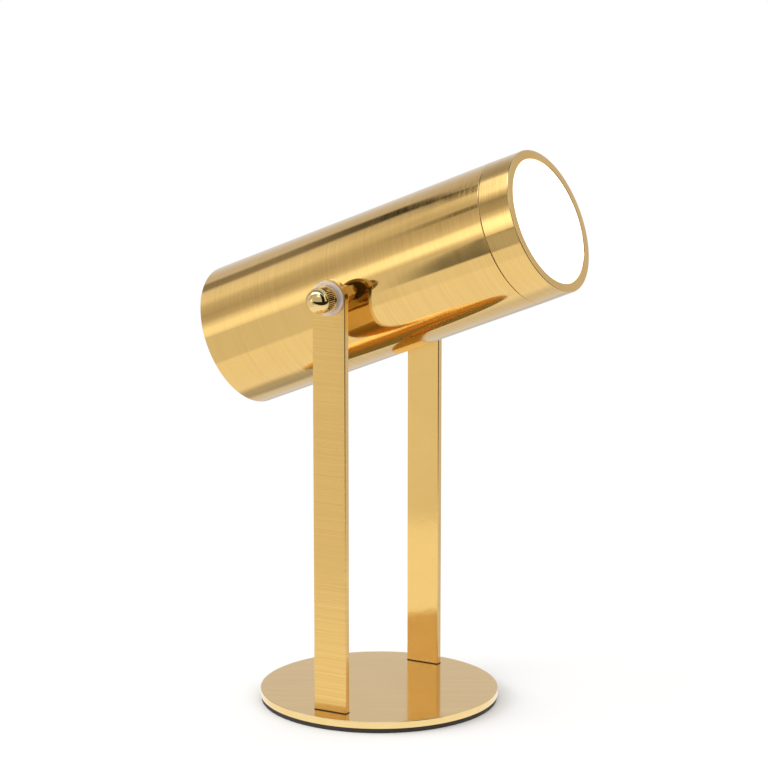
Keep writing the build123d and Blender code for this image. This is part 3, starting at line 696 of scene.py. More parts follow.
@dataclass(frozen=True)
class Spindle:
    """The axis that a piece is turned about."""

    origin: Vector
    way: Vector
    across: Vector

    def at(self, radius: float, along: float, angle: float) -> Vector:
        """Places a point so far from the axis, along it and round it, in metres and radians."""
        arm = self.across * math.cos(angle) + self.way.cross(self.across) * math.sin(angle)
        return self.origin + self.way * along + arm * radius


HEAD_SPINDLE = Spindle(PIVOT, FORWARD, UP_NORMAL)
WORLD_SPINDLE = Spindle(
    Vector((0.0, 0.0, 0.0)), Vector((0.0, 0.0, 1.0)), Vector((1.0, 0.0, 0.0))
)


def pivot_spindle(side: Side) -> Spindle:
    """The pivot's axis, pointing outward on that side."""
    return Spindle(PIVOT, LEFTWARD * side.value, Vector((0.0, 0.0, 1.0)))


def link(name: str, mesh: bpy.types.Mesh) -> Piece:
    """Makes an object for a mesh and puts it in the scene.

    Args:
        name: the object's name.
        mesh: its mesh.

    Returns:
        The object.
    """
    piece = bpy.data.objects.new(name, mesh)
    bpy.context.scene.collection.objects.link(piece)
    return piece


def filled(name: str, shell: bmesh.types.BMesh) -> Piece:
    """Makes an object from a finished bmesh, which it frees.

    Args:
        name: the object's name.
        shell: its shape.

    Returns:
        The object.
    """
    mesh = bpy.data.meshes.new(name)
    shell.to_mesh(mesh)
    shell.free()
    return link(name, mesh)


def evaluated(piece: Piece) -> None:
    """Turns a piece's modifiers into its own mesh and removes them.

    Args:
        piece: the piece.
    """
    bpy.context.view_layer.update()
    graph = bpy.context.evaluated_depsgraph_get()
    mesh = bpy.data.meshes.new_from_object(
        piece.evaluated_get(graph), preserve_all_data_layers=True, depsgraph=graph
    )
    piece.modifiers.clear()
    piece.data = mesh
    mesh.name = piece.name


def smooth(piece: Piece, angle: float = 30.0, weight: int = 100) -> None:
    """Shades a piece smoothly up to an angle, with its flat faces kept flat.

    Args:
        piece: the piece, with no live modifiers.
        angle: the steepest edge that still looks smooth, in degrees.
        weight: how much more a large face bends the shading than a small one.
    """
    piece.data.shade_smooth()
    piece.data.set_sharp_from_angle(angle=math.radians(angle))
    weighted = piece.modifiers.new("flat_faces", "WEIGHTED_NORMAL")
    weighted.keep_sharp = True
    weighted.weight = weight
    evaluated(piece)


def turned(name: str, spindle: Spindle, outline: Sequence[Point2], segments: int = 192) -> Piece:
    """Turns an outline about an axis into a closed solid.

    Args:
        name: the piece's name.
        spindle: the axis.
        outline: (radius, along) points in millimetres, closed on itself or from pole to pole.
        segments: how many steps go round.

    Returns:
        The piece, with U along the outline and V round the axis, both in metres.
    """
    poled = outline[0][0] < ON_AXIS and outline[-1][0] < ON_AXIS
    loop = list(outline) if poled else [*outline, outline[0]]
    area = sum(a[0] * b[1] - b[0] * a[1] for a, b in zip(loop, loop[1:]))
    if area < 0:
        loop.reverse()
    lengths = [0.0]
    for a, b in zip(loop, loop[1:]):
        lengths.append(lengths[-1] + math.dist(a, b) * MM)
    widest = max(radius for radius, _ in loop) * MM
    sheet = bmesh.new()
    layer = sheet.loops.layers.uv.new(BRUSH_MAP)
    step = math.tau / segments
    rings: list[list[bmesh.types.BMVert]] = []
    for radius, along in loop if poled else loop[:-1]:
        if radius < ON_AXIS:
            rings.append([sheet.verts.new(spindle.at(0.0, along * MM, 0.0))] * segments)
            continue
        points = [spindle.at(radius * MM, along * MM, k * step) for k in range(segments)]
        rings.append([sheet.verts.new(point) for point in points])
    if not poled:
        rings.append(rings[0])
    for i in range(len(loop) - 1):
        for k in range(segments):
            after = (k + 1) % segments
            corners = [
                (rings[i][k], i, k), (rings[i + 1][k], i + 1, k),
                (rings[i + 1][after], i + 1, k + 1), (rings[i][after], i, k + 1),
            ]
            kept = [c for n, c in enumerate(corners) if c[0] not in [d[0] for d in corners[:n]]]
            if len(kept) < 3:
                continue
            face = sheet.faces.new([c[0] for c in kept])
            for corner, (_, row, column) in zip(face.loops, kept, strict=True):
                corner[layer].uv = (lengths[row], column * step * widest)
    if sheet.calc_volume(signed=True) < 0:
        bmesh.ops.reverse_faces(sheet, faces=sheet.faces[:])
    return filled(name, sheet)


def cut_away(piece: Piece, cutter: Piece) -> None:
    """Takes one solid away from another.

    Args:
        piece: the solid that stays.
        cutter: the solid to take away, which is deleted.
    """
    cut = piece.modifiers.new("cut", "BOOLEAN")
    cut.operation = "DIFFERENCE"
    cut.solver = "EXACT"
    cut.object = cutter
    evaluated(piece)
    bpy.data.objects.remove(cutter)


def block(name: str, low: Sequence[float], high: Sequence[float]) -> Piece:
    """Makes a plain box.

    Args:
        name: the box's name.
        low: its lowest corner, in millimetres.
        high: its highest corner.

    Returns:
        The box.
    """
    box = bmesh.new()
    bmesh.ops.create_cube(box, size=1.0)
    for vert in box.verts:
        share = [coordinate + 0.5 for coordinate in vert.co]
        vert.co = Vector([(a + (b - a) * s) * MM for a, b, s in zip(low, high, share)])
    return filled(name, box)


def lay_brush(piece: Piece, place: Callable[[Vector, Vector], Point2 | None]) -> None:
    """Writes the brush map's coordinates again.

    Args:
        piece: the piece.
        place: gives (U, V) in metres for a point and its face's normal, or None to leave it.
    """
    mesh = piece.data
    layer = mesh.uv_layers.get(BRUSH_MAP) or mesh.uv_layers.new(name=BRUSH_MAP)
    for polygon in mesh.polygons:
        for index in polygon.loop_indices:
            found = place(mesh.vertices[mesh.loops[index].vertex_index].co, polygon.normal)
            if found:
                layer.data[index].uv = found


def two_tone(
    piece: Piece, materials: Sequence[Material], is_second: Callable[[Vector], bool]
) -> None:
    """Gives a piece two materials.

    Args:
        piece: the piece.
        materials: the one that most faces have, and the other one.
        is_second: tells by their normal the faces that have the other one.
    """
    for material in materials:
        piece.data.materials.append(material)
    for polygon in piece.data.polygons:
        polygon.material_index = int(is_second(polygon.normal))


def dress(piece: Piece, finishes: Finishes, body: Body, node: str, slot: str) -> None:
    """Gives a piece its shading, its finish and its body, and hides the frame's node that it stands
    for.

    Args:
        piece: the finished shape.
        finishes: the lamp's finishes, of which it gets its slot's unless it has one already.
        body: the body that it moves with.
        node: the frame's node that it replaces.
        slot: the record's material slot.
    """
    smooth(piece)
    if not piece.data.materials:
        piece.data.materials.append(finishes.by_slot[slot])
    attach(piece, body.value)
    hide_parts(node)
    log.info("%s: %d faces, on %s", piece.name, len(piece.data.polygons), body.value)


# ---------------------------------------------------------------- Geometry Nodes


class NodeTool(Graph):
    """A Geometry Nodes tree built in code, with named inputs for its sizes."""

    def __init__(self, name: str) -> None:
        """Starts a tree with a geometry input and output.

        Args:
            name: its name.
        """
        super().__init__(bpy.data.node_groups.new(name, "GeometryNodeTree"))
        self.sockets: dict[str, str] = {}
        for way in ("INPUT", "OUTPUT"):
            self.tree.interface.new_socket(
                name="Geometry", in_out=way, socket_type="NodeSocketGeometry"
            )
        self.source = self.tree.nodes.new("NodeGroupInput")

    def size(self, name: str, kind: str = "NodeSocketFloat") -> Socket:
        """Adds a named input.

        Args:
            name: the input's name.
            kind: its socket's type name.

        Returns:
            The socket that reads it.
        """
        made = self.tree.interface.new_socket(name=name, in_out="INPUT", socket_type=kind)
        self.sockets[name] = made.identifier
        return next(s for s in self.source.outputs if s.identifier == made.identifier)

    def close(self, geometry: Socket) -> None:
        """Ends the tree in Realize Instances and Set Material.

        Args:
            geometry: what the tree has made.
        """
        material = self.size("Material", "NodeSocketMaterial")
        realized = self.node("GeometryNodeRealizeInstances", in0=geometry)
        painted = self.node(
            "GeometryNodeSetMaterial", Geometry=realized.outputs[0], Material=material
        )
        self.node("NodeGroupOutput", in0=painted.outputs[0])

    def apply(self, piece: Piece, **sizes: object) -> None:
        """Runs the tree on a piece and keeps the result as a plain mesh.

        Args:
            piece: the piece that feeds the tree.
            **sizes: a value for each named input.
        """
        modifier = piece.modifiers.new(self.tree.name, "NODES")
        modifier.node_group = self.tree
        for name, value in sizes.items():
            modifier[self.sockets[name.replace("_", " ")]] = value
        evaluated(piece)
        piece.data.materials.clear()
        piece.data.materials.append(sizes["Material"])


def knurl_tool() -> NodeTool:
    """Builds a tree that cuts V-shaped grooves into a band round a pivot's axis.

    Returns:
        The tool, with inputs for the band's radius and ends, the grooves and the axis height.
    """
    tool = NodeTool("knurl_band")
    radius, start, end = tool.size("Band radius"), tool.size("Band start"), tool.size("Band end")
    depth, count = tool.size("Groove depth"), tool.size("Groove count")
    height = tool.size("Axis height")
    place = tool.node("GeometryNodeInputPosition").outputs[0]
    split = tool.node("ShaderNodeSeparateXYZ", in0=place)
    x, y = split.outputs[0], split.outputs[1]
    z = tool.math("SUBTRACT", split.outputs[2], height)
    turns = tool.math("DIVIDE", tool.math("ARCTAN2", z, x), math.tau)
    tooth = tool.math("FRACT", tool.times(turns, count))
    from_groove = tool.math("ABSOLUTE", tool.math("SUBTRACT", tooth, 0.5))
    pitch = tool.math("DIVIDE", tool.times(radius, math.tau), count)
    slope = tool.math("SUBTRACT", depth, tool.times(from_groove, pitch))
    cut = tool.math("MAXIMUM", slope, 0.0)
    here = tool.math("SQRT", tool.plus(tool.times(x, x), tool.times(z, z)))
    kept = tool.math("MINIMUM", here, tool.math("SUBTRACT", radius, cut))
    share = tool.math("DIVIDE", kept, tool.math("MAXIMUM", here, NOT_NOUGHT))
    moved = tool.node(
        "ShaderNodeCombineXYZ",
        in0=tool.times(x, share), in1=y, in2=tool.plus(tool.times(z, share), height),
    )
    along = tool.math("ABSOLUTE", y)
    inside = tool.times(
        tool.math("GREATER_THAN", along, start), tool.math("LESS_THAN", along, end)
    )
    marked = tool.node(
        "GeometryNodeStoreNamedAttribute",
        {"data_type": "FLOAT", "domain": "POINT"},
        Geometry=tool.source.outputs[0],
        Name=GROOVE_DEPTH,
        Value=tool.times(tool.math("DIVIDE", cut, depth), inside),
    )
    shaped = tool.node(
        "GeometryNodeSetPosition",
        Geometry=marked.outputs[0], Selection=inside, Position=moved.outputs[0],
    )
    tool.close(shaped.outputs[0])
    return tool


def pair_tool() -> NodeTool:
    """Builds a tree that sets two copies of a piece side by side across the lamp.

    Returns:
        The tool, with inputs for the seat, the turn and the spacing.
    """
    tool = NodeTool("fastener_pair")
    seat, turn = tool.size("Seat", "NodeSocketVector"), tool.size("Turn", "NodeSocketVector")
    step = tool.node("ShaderNodeCombineXYZ", in1=tool.size("Spacing")).outputs[0]
    half = tool.node("ShaderNodeVectorMath", {"operation": "SCALE"}, in0=step, Scale=0.5)
    line = tool.node(
        "GeometryNodeMeshLine",
        {"mode": "OFFSET"},
        Count=2, Start_Location=tool.vector("SUBTRACT", seat, half.outputs[0]), Offset=step,
    )
    copies = tool.node(
        "GeometryNodeInstanceOnPoints",
        Points=line.outputs[0], Instance=tool.source.outputs[0], Rotation=turn,
    )
    tool.close(copies.outputs[0])
    return tool


def rings_tool() -> NodeTool:
    """Builds a tree that sets copies of a small piece in two rings round a middle one.

    Returns:
        The tool, with inputs for the seat, the turn, and each ring's radius and count.
    """
    tool = NodeTool("lamp_rings")
    seat, turn = tool.size("Seat", "NodeSocketVector"), tool.size("Turn", "NodeSocketVector")
    points = [tool.node("GeometryNodeMeshLine", {"mode": "OFFSET"}, Count=1).outputs[0]]
    for ring in ("Inner", "Outer"):
        circle = tool.node(
            "GeometryNodeMeshCircle",
            Vertices=tool.size(f"{ring} count", "NodeSocketInt"),
            Radius=tool.size(f"{ring} radius"),
        )
        points.append(circle.outputs[0])
    joined = tool.node("GeometryNodeJoinGeometry")
    for geometry in points:
        tool.tree.links.new(geometry, joined.inputs[0])
    copies = tool.node(
        "GeometryNodeInstanceOnPoints", Points=joined.outputs[0], Instance=tool.source.outputs[0]
    )
    realized = tool.node("GeometryNodeRealizeInstances", in0=copies.outputs[0])
    placed = tool.node(
        "GeometryNodeTransform", Geometry=realized.outputs[0], Translation=seat, Rotation=turn
    )
    tool.close(placed.outputs[0])
    return tool


# ---------------------------------------------------------------- The lamp's sub-assemblies


@dataclass
class Base:
    """The round plate, the pad under it and the pockets that the uprights stand in."""

    finishes: Finishes
    plate_radius: float = 67.0
    pad_radius: float = 66.5
    pad_thickness: float = 2.5
    plate_thickness: float = 4.0
    edge_round: float = 0.4
    pad_round: float = 0.3
    pocket_depth: float = 1.0
    pocket_clearance: float = 0.3
    segments: int = 288

    def plate(self) -> None:
        """Turns the plate, cuts its pockets and lays its straight brush lines."""
        top = self.pad_thickness + self.plate_thickness
        outline = hoop(0.0, self.plate_radius, self.pad_thickness, top, self.edge_round)
        plate = turned("plate", WORLD_SPINDLE, outline, self.segments)
        half = BAR_WIDTH / 2 + self.pocket_clearance
        inner, outer = BAR_INNER - self.pocket_clearance, BAR_OUTER + self.pocket_clearance
        for side in Side:
            near, far = sorted((side.value * inner, side.value * outer))
            low = (-half, near, top - self.pocket_depth)
            cut_away(plate, block("pocket", low, (half, far, top + CLEAR_OF)))
        line = Vector((math.cos(PLATE_GRAIN), math.sin(PLATE_GRAIN), 0.0))
        over = Vector((-line.y, line.x, 0.0))

        def place(point: Vector, normal: Vector) -> Point2 | None:
            """Across and along the lines on the flat faces."""
            return (point.dot(over), point.dot(line)) if abs(normal.z) > FACING else None

        lay_brush(plate, place)
        finishes = (self.finishes.by_slot["plate_brass"], self.finishes.rim)
        two_tone(plate, finishes, lambda normal: abs(normal.z) < FACING)
        dress(plate, self.finishes, Body.STAND, "base_plate", "plate_brass")

    def build(self) -> None:
        """Makes the plate and turns the rubber pad under it."""
        self.plate()
        pad_outline = hoop(0.0, self.pad_radius, 0.0, self.pad_thickness, self.pad_round)
        pad = turned("pad", WORLD_SPINDLE, pad_outline)
        dress(pad, self.finishes, Body.STAND, "base_pad", "pad_rubber")


@dataclass
class Upright:
    """A flat bar with a round top, brushed across, with the pivot's hole in it."""

    finishes: Finishes
    side: Side
    width: float = BAR_WIDTH
    inner_face: float = BAR_INNER
    outer_face: float = BAR_OUTER
    foot: float = 5.5
    pivot_height: float = 236.0
    hole_radius: float = 4.06
    edge_round: float = 0.45
    edge_steps: int = 3
    round_steps: int = 48
    weld: float = 0.002  # how near points are joined
    face_from: float = 0.7  # how squarely a face looks sideways that is brushed across
    inner_from: float = 0.5  # how squarely a face looks inward that is as it was rolled

    def arc(self, radius: float, sweep: float, count: int) -> list[Point2]:
        """Lays points round the pivot, in millimetres, as part of a sweep in so many steps."""
        angles = [sweep * k / self.round_steps for k in range(count)]
        return [(radius * math.cos(a), self.pivot_height + radius * math.sin(a)) for a in angles]

    def flat_shape(self, name: str) -> bpy.types.Mesh:
        """Fills the outlines of the bar and its hole and rounds their edges.

        Args:
            name: the bar's name.

        Returns:
            The bar's mesh, lying flat, in millimetres.
        """
        curve = bpy.data.curves.new(name, "CURVE")
        curve.dimensions = "2D"
        curve.fill_mode = "BOTH"
        curve.extrude = (self.outer_face - self.inner_face) / 2 - self.edge_round
        curve.bevel_depth = self.edge_round
        curve.offset = -self.edge_round
        curve.bevel_resolution = self.edge_steps
        half = self.width / 2
        foot = [(-half, self.foot), (half, self.foot)]
        bar = [*foot, *self.arc(half, math.pi, self.round_steps + 1)]
        hole = self.arc(self.hole_radius, -math.tau, self.round_steps)
        for points in (bar, hole):
            spline = curve.splines.new("POLY")
            spline.points.add(len(points) - 1)
            for made, (x, z) in zip(spline.points, points, strict=True):
                made.co = (x, z, 0.0, 1.0)
            spline.use_cyclic_u = True
        former = bpy.data.objects.new(name + "_former", curve)
        bpy.context.scene.collection.objects.link(former)
        bpy.context.view_layer.update()
        graph = bpy.context.evaluated_depsgraph_get()
        mesh = bpy.data.meshes.new_from_object(former.evaluated_get(graph), depsgraph=graph)
        bpy.data.objects.remove(former)
        return mesh

    def build(self) -> None:
        """Stands the bar up at its place and brushes it."""
        name = f"bar_{self.side.word}"
        mesh = self.flat_shape(name)
        middle = self.side.value * (self.inner_face + self.outer_face) / 2
        for vert in mesh.vertices:
            x, z, y = vert.co
            vert.co = Vector((x, middle - y, z)) * MM
        shell = bmesh.new()
        shell.from_mesh(mesh)
        bmesh.ops.remove_doubles(shell, verts=shell.verts[:], dist=self.weld * MM)
        bmesh.ops.recalc_face_normals(shell, faces=shell.faces[:])
        shell.to_mesh(mesh)
        shell.free()
        while mesh.uv_layers:
            mesh.uv_layers.remove(mesh.uv_layers[0])
        bar = link(name, mesh)

        def place(point: Vector, normal: Vector) -> Point2:
            """Up the bar, and across the face."""
            return (point.z, point.x if abs(normal.y) > self.face_from else point.y)

        def is_inner(normal: Vector) -> bool:
            """Tells whether a face looks toward the head."""
            return normal.y * self.side.value < -self.inner_from

        lay_brush(bar, place)
        two_tone(bar, (self.finishes.by_slot["bar_brass"], self.finishes.sheet), is_inner)
        dress(bar, self.finishes, Body.STAND, f"upright_{self.side.word}", "bar_brass")


@dataclass
class Pivot:
    """What clamps the head to one upright, from the tube outward."""

    finishes: Finishes
    side: Side
    bore: float = 3.1
    spacer_radius: float = 5.0
    spacer_start: float = 45.6
    spacer_end: float = 50.8
    spacer_edge: float = 0.3
    friction_radius: float = 7.5
    friction_end: float = BAR_INNER
    friction_edge: float = 0.15
    running_gap: float = 0.04
    clear_radius: float = 9.5
    clear_start: float = BAR_OUTER
    clear_end: float = WASHER_OUTER
    clear_round: float = 0.95
    segments: int = 96

    def build(self) -> None:
        """Turns the spacer, the friction washer and the clear washer."""
        word = self.side.word
        rings = {
            "spacer_turned": (
                Body.HEAD, f"spacer_{word}", "polished_brass",
                (self.spacer_radius, self.spacer_start, self.spacer_end, self.spacer_edge),
            ),
            "washer_fibre": (
                Body.STAND, f"friction_washer_{word}", "dark_fibre",
                (
                    self.friction_radius,
                    self.spacer_end + self.running_gap,
                    self.friction_end,
                    self.friction_edge,
                ),
            ),
            "washer_clear": (
                Body(f"washer_{word}"), f"clear_washer_{word}", "clear_plastic",
                (self.clear_radius, self.clear_start, self.clear_end, self.clear_round),
            ),
        }
        for name, (body, node, slot, sizes) in rings.items():
            outline = hoop(self.bore, *sizes)
            ring = turned(f"{name}_{word}", pivot_spindle(self.side), outline, self.segments)
            dress(ring, self.finishes, body, node, slot)


@dataclass
class ClampKnob:
    """A turned knob: a thin flange, a groove, a knurled band and a polished dome."""

    finishes: Finishes
    side: Side
    knurl: NodeTool
    start: float = WASHER_OUTER
    flange_radius: float = 7.0
    flange_length: float = 1.6
    foot_edge: float = 0.1
    groove_radius: float = 6.2
    groove_length: float = 1.0
    groove_round: float = 0.15
    band_radius: float = 6.95
    band_length: float = 6.6
    band_slack: float = 0.01  # shifts the knurl, to have the band's first edge but not its last
    edge: float = 0.25
    groove_depth: float = 0.42
    groove_count: int = 40
    steps_in_groove: int = 8
    dome_radius: float = 6.75
    dome_height: float = 6.2
    dome_steps: int = 20
    round_steps: int = 4
    bore_radius: float = 3.05
    bore_depth: float = 11.0

    def dome(self, start: float) -> list[Point2]:
        """Outlines the dome.

        Args:
            start: where it starts along the knob.

        Returns:
            The outline from the dome's foot to its tip, in millimetres.
        """
        centre = start + self.dome_height - self.dome_radius
        foot = math.asin((start - centre) / self.dome_radius)
        steps = self.dome_steps
        angles = [foot + (math.pi / 2 - foot) * k / steps for k in range(steps)]
        radius = self.dome_radius
        points = [(radius * math.cos(angle), centre + radius * math.sin(angle)) for angle in angles]
        return [*points, (0.0, start + self.dome_height)]

    def outline(self) -> list[Point2]:
        """Outlines the knob.

        Returns:
            The outline from the dome's tip round to the bore's bottom, in millimetres.
        """
        band_start = self.flange_length + self.groove_length
        dome_start = band_start + self.band_length
        shank = [
            Corner(self.band_radius, dome_start - self.edge),
            Corner(self.band_radius, band_start + self.edge),
            Corner(self.band_radius - self.edge, band_start),
            Corner(self.groove_radius, band_start, self.groove_round),
            Corner(self.groove_radius, self.flange_length, self.groove_round),
            Corner(self.flange_radius, self.flange_length, self.edge),
            Corner(self.flange_radius, 0.0, self.foot_edge),
            Corner(self.bore_radius, 0.0),
            Corner(self.bore_radius, self.bore_depth),
            Corner(0.0, self.bore_depth),
        ]
        points = [*reversed(self.dome(dome_start)), *rounded(shank, self.round_steps)]
        return [(radius, along + self.start) for radius, along in points]

    def build(self) -> None:
        """Turns the knob, cuts its knurl and gives it a polished finish."""
        word = self.side.word
        segments = self.groove_count * self.steps_in_groove
        knob = turned(f"knob_{word}_turned", pivot_spindle(self.side), self.outline(), segments)
        cut_start = self.start + self.flange_length + self.groove_length - self.band_slack
        self.knurl.apply(
            knob,
            Band_radius=self.band_radius * MM,
            Band_start=cut_start * MM,
            Band_end=(cut_start + self.band_length) * MM,
            Groove_depth=self.groove_depth * MM,
            Groove_count=float(self.groove_count),
            Axis_height=PIVOT.z,
            Material=self.finishes.knurled,
        )
        body = Body(f"knob_{word}")
        dress(knob, self.finishes, body, f"clamp_knob_{word}", "polished_brass")


@dataclass
class Head:
    """The tube, the front ring past its seam, and the lit disc."""

    finishes: Finishes
    tube_radius: float = 40.0
    bore_radius: float = 38.5
    tube_rear: float = -94.0
    tube_front: float = 92.5
    tube_edge: float = 0.35
    ring_front: float = 111.0
    ring_edge: float = 0.6
    ring_taper: float = 0.25  # how much slimmer the ring is at its front
    lip_radius: float = 34.7
    lip_depth: float = 2.2
    lip_bevel: float = 0.25
    lip_edge: float = 0.08
    spigot_radius: float = 38.4
    ring_bore: float = 36.9
    spigot_length: float = 9.0
    seam_gap: float = 0.15
    diffuser_radius: float = 34.5
    diffuser_flange: float = 36.7
    diffuser_flange_thickness: float = 2.0
    diffuser_recess: float = 0.1
    diffuser_round: float = 0.3
    pivot_hole: float = 3.1
    drill_start: float = 30.0
    drill_end: float = 45.0
    drill_segments: int = 48
    segments: int = 256

    def tube(self) -> None:
        """Turns the tube and drills it for the pivot studs."""
        outline = hoop(
            self.bore_radius, self.tube_radius, self.tube_rear, self.tube_front, self.tube_edge
        )
        tube = turned("tube", HEAD_SPINDLE, outline, self.segments)
        drill = hoop(0.0, self.pivot_hole, self.drill_start, self.drill_end)
        for side in Side:
            cut_away(tube, turned("drill", pivot_spindle(side), drill, self.drill_segments))
        dress(tube, self.finishes, Body.HEAD, "head_tube", "tube_brass")

    def ring(self) -> None:
        """Turns the front ring with its spigot and lip."""
        lip_rear = self.ring_front - self.lip_depth
        spigot = self.tube_front - self.spigot_length
        shoulder = self.tube_front + self.seam_gap
        outline = rounded(
            [
                Corner(self.ring_bore, spigot),
                Corner(self.spigot_radius, spigot),
                Corner(self.spigot_radius, shoulder),
                Corner(self.tube_radius, shoulder, self.tube_edge),
                Corner(self.tube_radius - self.ring_taper, self.ring_front, self.ring_edge),
                Corner(self.lip_radius + self.lip_bevel, self.ring_front, self.lip_edge),
                Corner(self.lip_radius, self.ring_front - self.lip_bevel, self.lip_edge),
                Corner(self.lip_radius, lip_rear),
                Corner(self.ring_bore, lip_rear),
            ]
        )
        ring = turned("front_ring_turned", HEAD_SPINDLE, outline, self.segments)
        ring.data.materials.append(self.finishes.ring)
        dress(ring, self.finishes, Body.HEAD, "front_ring", "tube_brass")

    def diffuser(self) -> None:
        """Turns the opal disc that the lamps light from behind."""
        lip_rear = self.ring_front - self.lip_depth
        rear = lip_rear - self.diffuser_flange_thickness
        front = self.ring_front - self.diffuser_recess
        outline = rounded(
            [
                Corner(0.0, rear),
                Corner(self.diffuser_flange, rear),
                Corner(self.diffuser_flange, lip_rear),
                Corner(self.diffuser_radius, lip_rear),
                Corner(self.diffuser_radius, front, self.diffuser_round),
                Corner(0.0, front),
            ]
        )
        disc = turned("diffuser_disc", HEAD_SPINDLE, outline)
        dress(disc, self.finishes, Body.HEAD, "diffuser", "opal")

    def build(self) -> None:
        """Makes the three pieces."""
        self.tube()
        self.ring()
        self.diffuser()


@dataclass
class LightEngine:
    """The lamps on their board, in rings round a middle one."""

    finishes: Finishes
    rings: NodeTool
    chip_size: float = 3.0
    chip_thickness: float = 0.7
    chip_edge: float = 0.15
    edge_steps: int = 2
    board_front: float = 80.0
    inner_radius: float = 7.5
    inner_count: int = 6
    outer_radius: float = 15.0
    outer_count: int = 12

    def build(self) -> None:
        """Makes one lamp with eased edges and repeats it on the board."""
        half = self.chip_size / 2
        chips = block("lamp_chips", (-half, -half, 0.0), (half, half, self.chip_thickness))
        eased = chips.modifiers.new("eased", "BEVEL")
        eased.width = self.chip_edge * MM
        eased.segments = self.edge_steps
        evaluated(chips)
        self.rings.apply(
            chips,
            Seat=tuple(PIVOT + FORWARD * self.board_front * MM),
            Turn=(0.0, math.pi / 2 - TILT, 0.0),
            Inner_count=self.inner_count,
            Inner_radius=self.inner_radius * MM,
            Outer_count=self.outer_count,
            Outer_radius=self.outer_radius * MM,
            Material=self.finishes.by_slot["lit_phosphor"],
        )
        dress(chips, self.finishes, Body.HEAD, "led_chips", "lit_phosphor")


@dataclass
class CapScrews:
    """The two countersunk screws that hold the rear cap."""

    finishes: Finishes
    pair: NodeTool
    head_radius: float = 2.8
    head_depth: float = 1.6
    head_edge: float = 0.15
    neck_round: float = 0.1
    shank_radius: float = 1.5
    length: float = 6.0
    tip_edge: float = 0.2
    round_steps: int = 3
    segments: int = 36
    socket_flats: float = 2.0
    socket_depth: float = 1.1
    socket_sides: int = 6
    spacing: float = 40.0
    cap_rear: float = -93.0
    height: float = -2.0

    def build(self) -> None:
        """Turns one screw, cuts its socket and sets two of them in the cap."""
        outline = rounded(
            [
                Corner(0.0, 0.0),
                Corner(self.head_radius, 0.0, self.head_edge),
                Corner(self.shank_radius, -self.head_depth, self.neck_round),
                Corner(self.shank_radius, -self.length, self.tip_edge),
                Corner(0.0, -self.length),
            ],
            self.round_steps,
        )
        screw = turned("cap_screws", WORLD_SPINDLE, outline, self.segments)
        across = self.socket_flats / math.sqrt(3)
        socket = hoop(0.0, across, -self.socket_depth, CLEAR_OF)
        cut_away(screw, turned("socket", WORLD_SPINDLE, socket, self.socket_sides))
        self.pair.apply(
            screw,
            Seat=tuple(PIVOT + FORWARD * self.cap_rear * MM + UP_NORMAL * self.height * MM),
            Turn=(0.0, -math.pi / 2 - TILT, 0.0),
            Spacing=self.spacing * MM,
            Material=self.finishes.by_slot["zinc_steel"],
        )
        dress(screw, self.finishes, Body.HEAD, "rear_cap_screws", "zinc_steel")


# ---------------------------------------------------------------- Studio


@dataclass(frozen=True)
class Panel:
    """A stretch of the studio's wall: how bright a soft box is, or how dark something else."""

    level: float
    turns: Point2  # from side to side, in degrees from the camera
    heights: Point2
    soft: float = 0.03
    soft_turn: float = 2.5


# Levels of light round the head, by the angle from its top, in degrees. The first three bands
# lie one after another in front of the lamp, and the last one lights what faces away from it.
BEHIND: tuple[Point2, ...] = (
    (-180, 0.65), (-95, 0.80), (-60, 0.72), (-36, 0.64), (-12, 0.72), (4, 0.90), (16, 0.93),
    (26, 0.64), (42, 0.50), (51, 0.60), (58, 0.95), (64, 1.25), (71, 1.25), (76, 1.02),
    (84, 0.74), (180, 0.65),
)
AHEAD: tuple[Point2, ...] = (
    (-180, 0.65), (-95, 0.84), (-60, 0.72), (-36, 0.62), (-18, 0.55), (2, 0.62), (9, 0.69),
    (17, 0.58), (26, 0.60), (36, 0.54), (48, 0.69), (56, 0.80), (62, 1.50), (70, 1.56),
    (75, 0.95), (82, 0.42), (180, 0.65),
)
COLLAR: tuple[Point2, ...] = (
    (-180, 0.65), (-95, 0.84), (-60, 0.70), (-42, 0.52), (-28, 0.42), (-20, 0.42), (-14, 0.62),
    (-8, 1.45), (14, 1.45), (22, 0.84), (31, 0.36), (46, 0.50), (54, 0.90), (62, 1.80),
    (72, 1.70), (84, 0.68), (180, 0.65),
)
BEYOND: tuple[Point2, ...] = (
    (-180, 0.75), (-95, 0.64), (-66, 0.74), (-34, 0.66), (-26, 0.40), (-19, 0.18), (-10, 0.26),
    (-4, 1.40), (2, 2.30), (14, 2.30), (19, 1.10), (25, 0.32), (36, 0.66), (58, 0.60),
    (80, 0.60), (180, 0.75),
)
WHITE: Colour = (1.0, 1.0, 1.0)


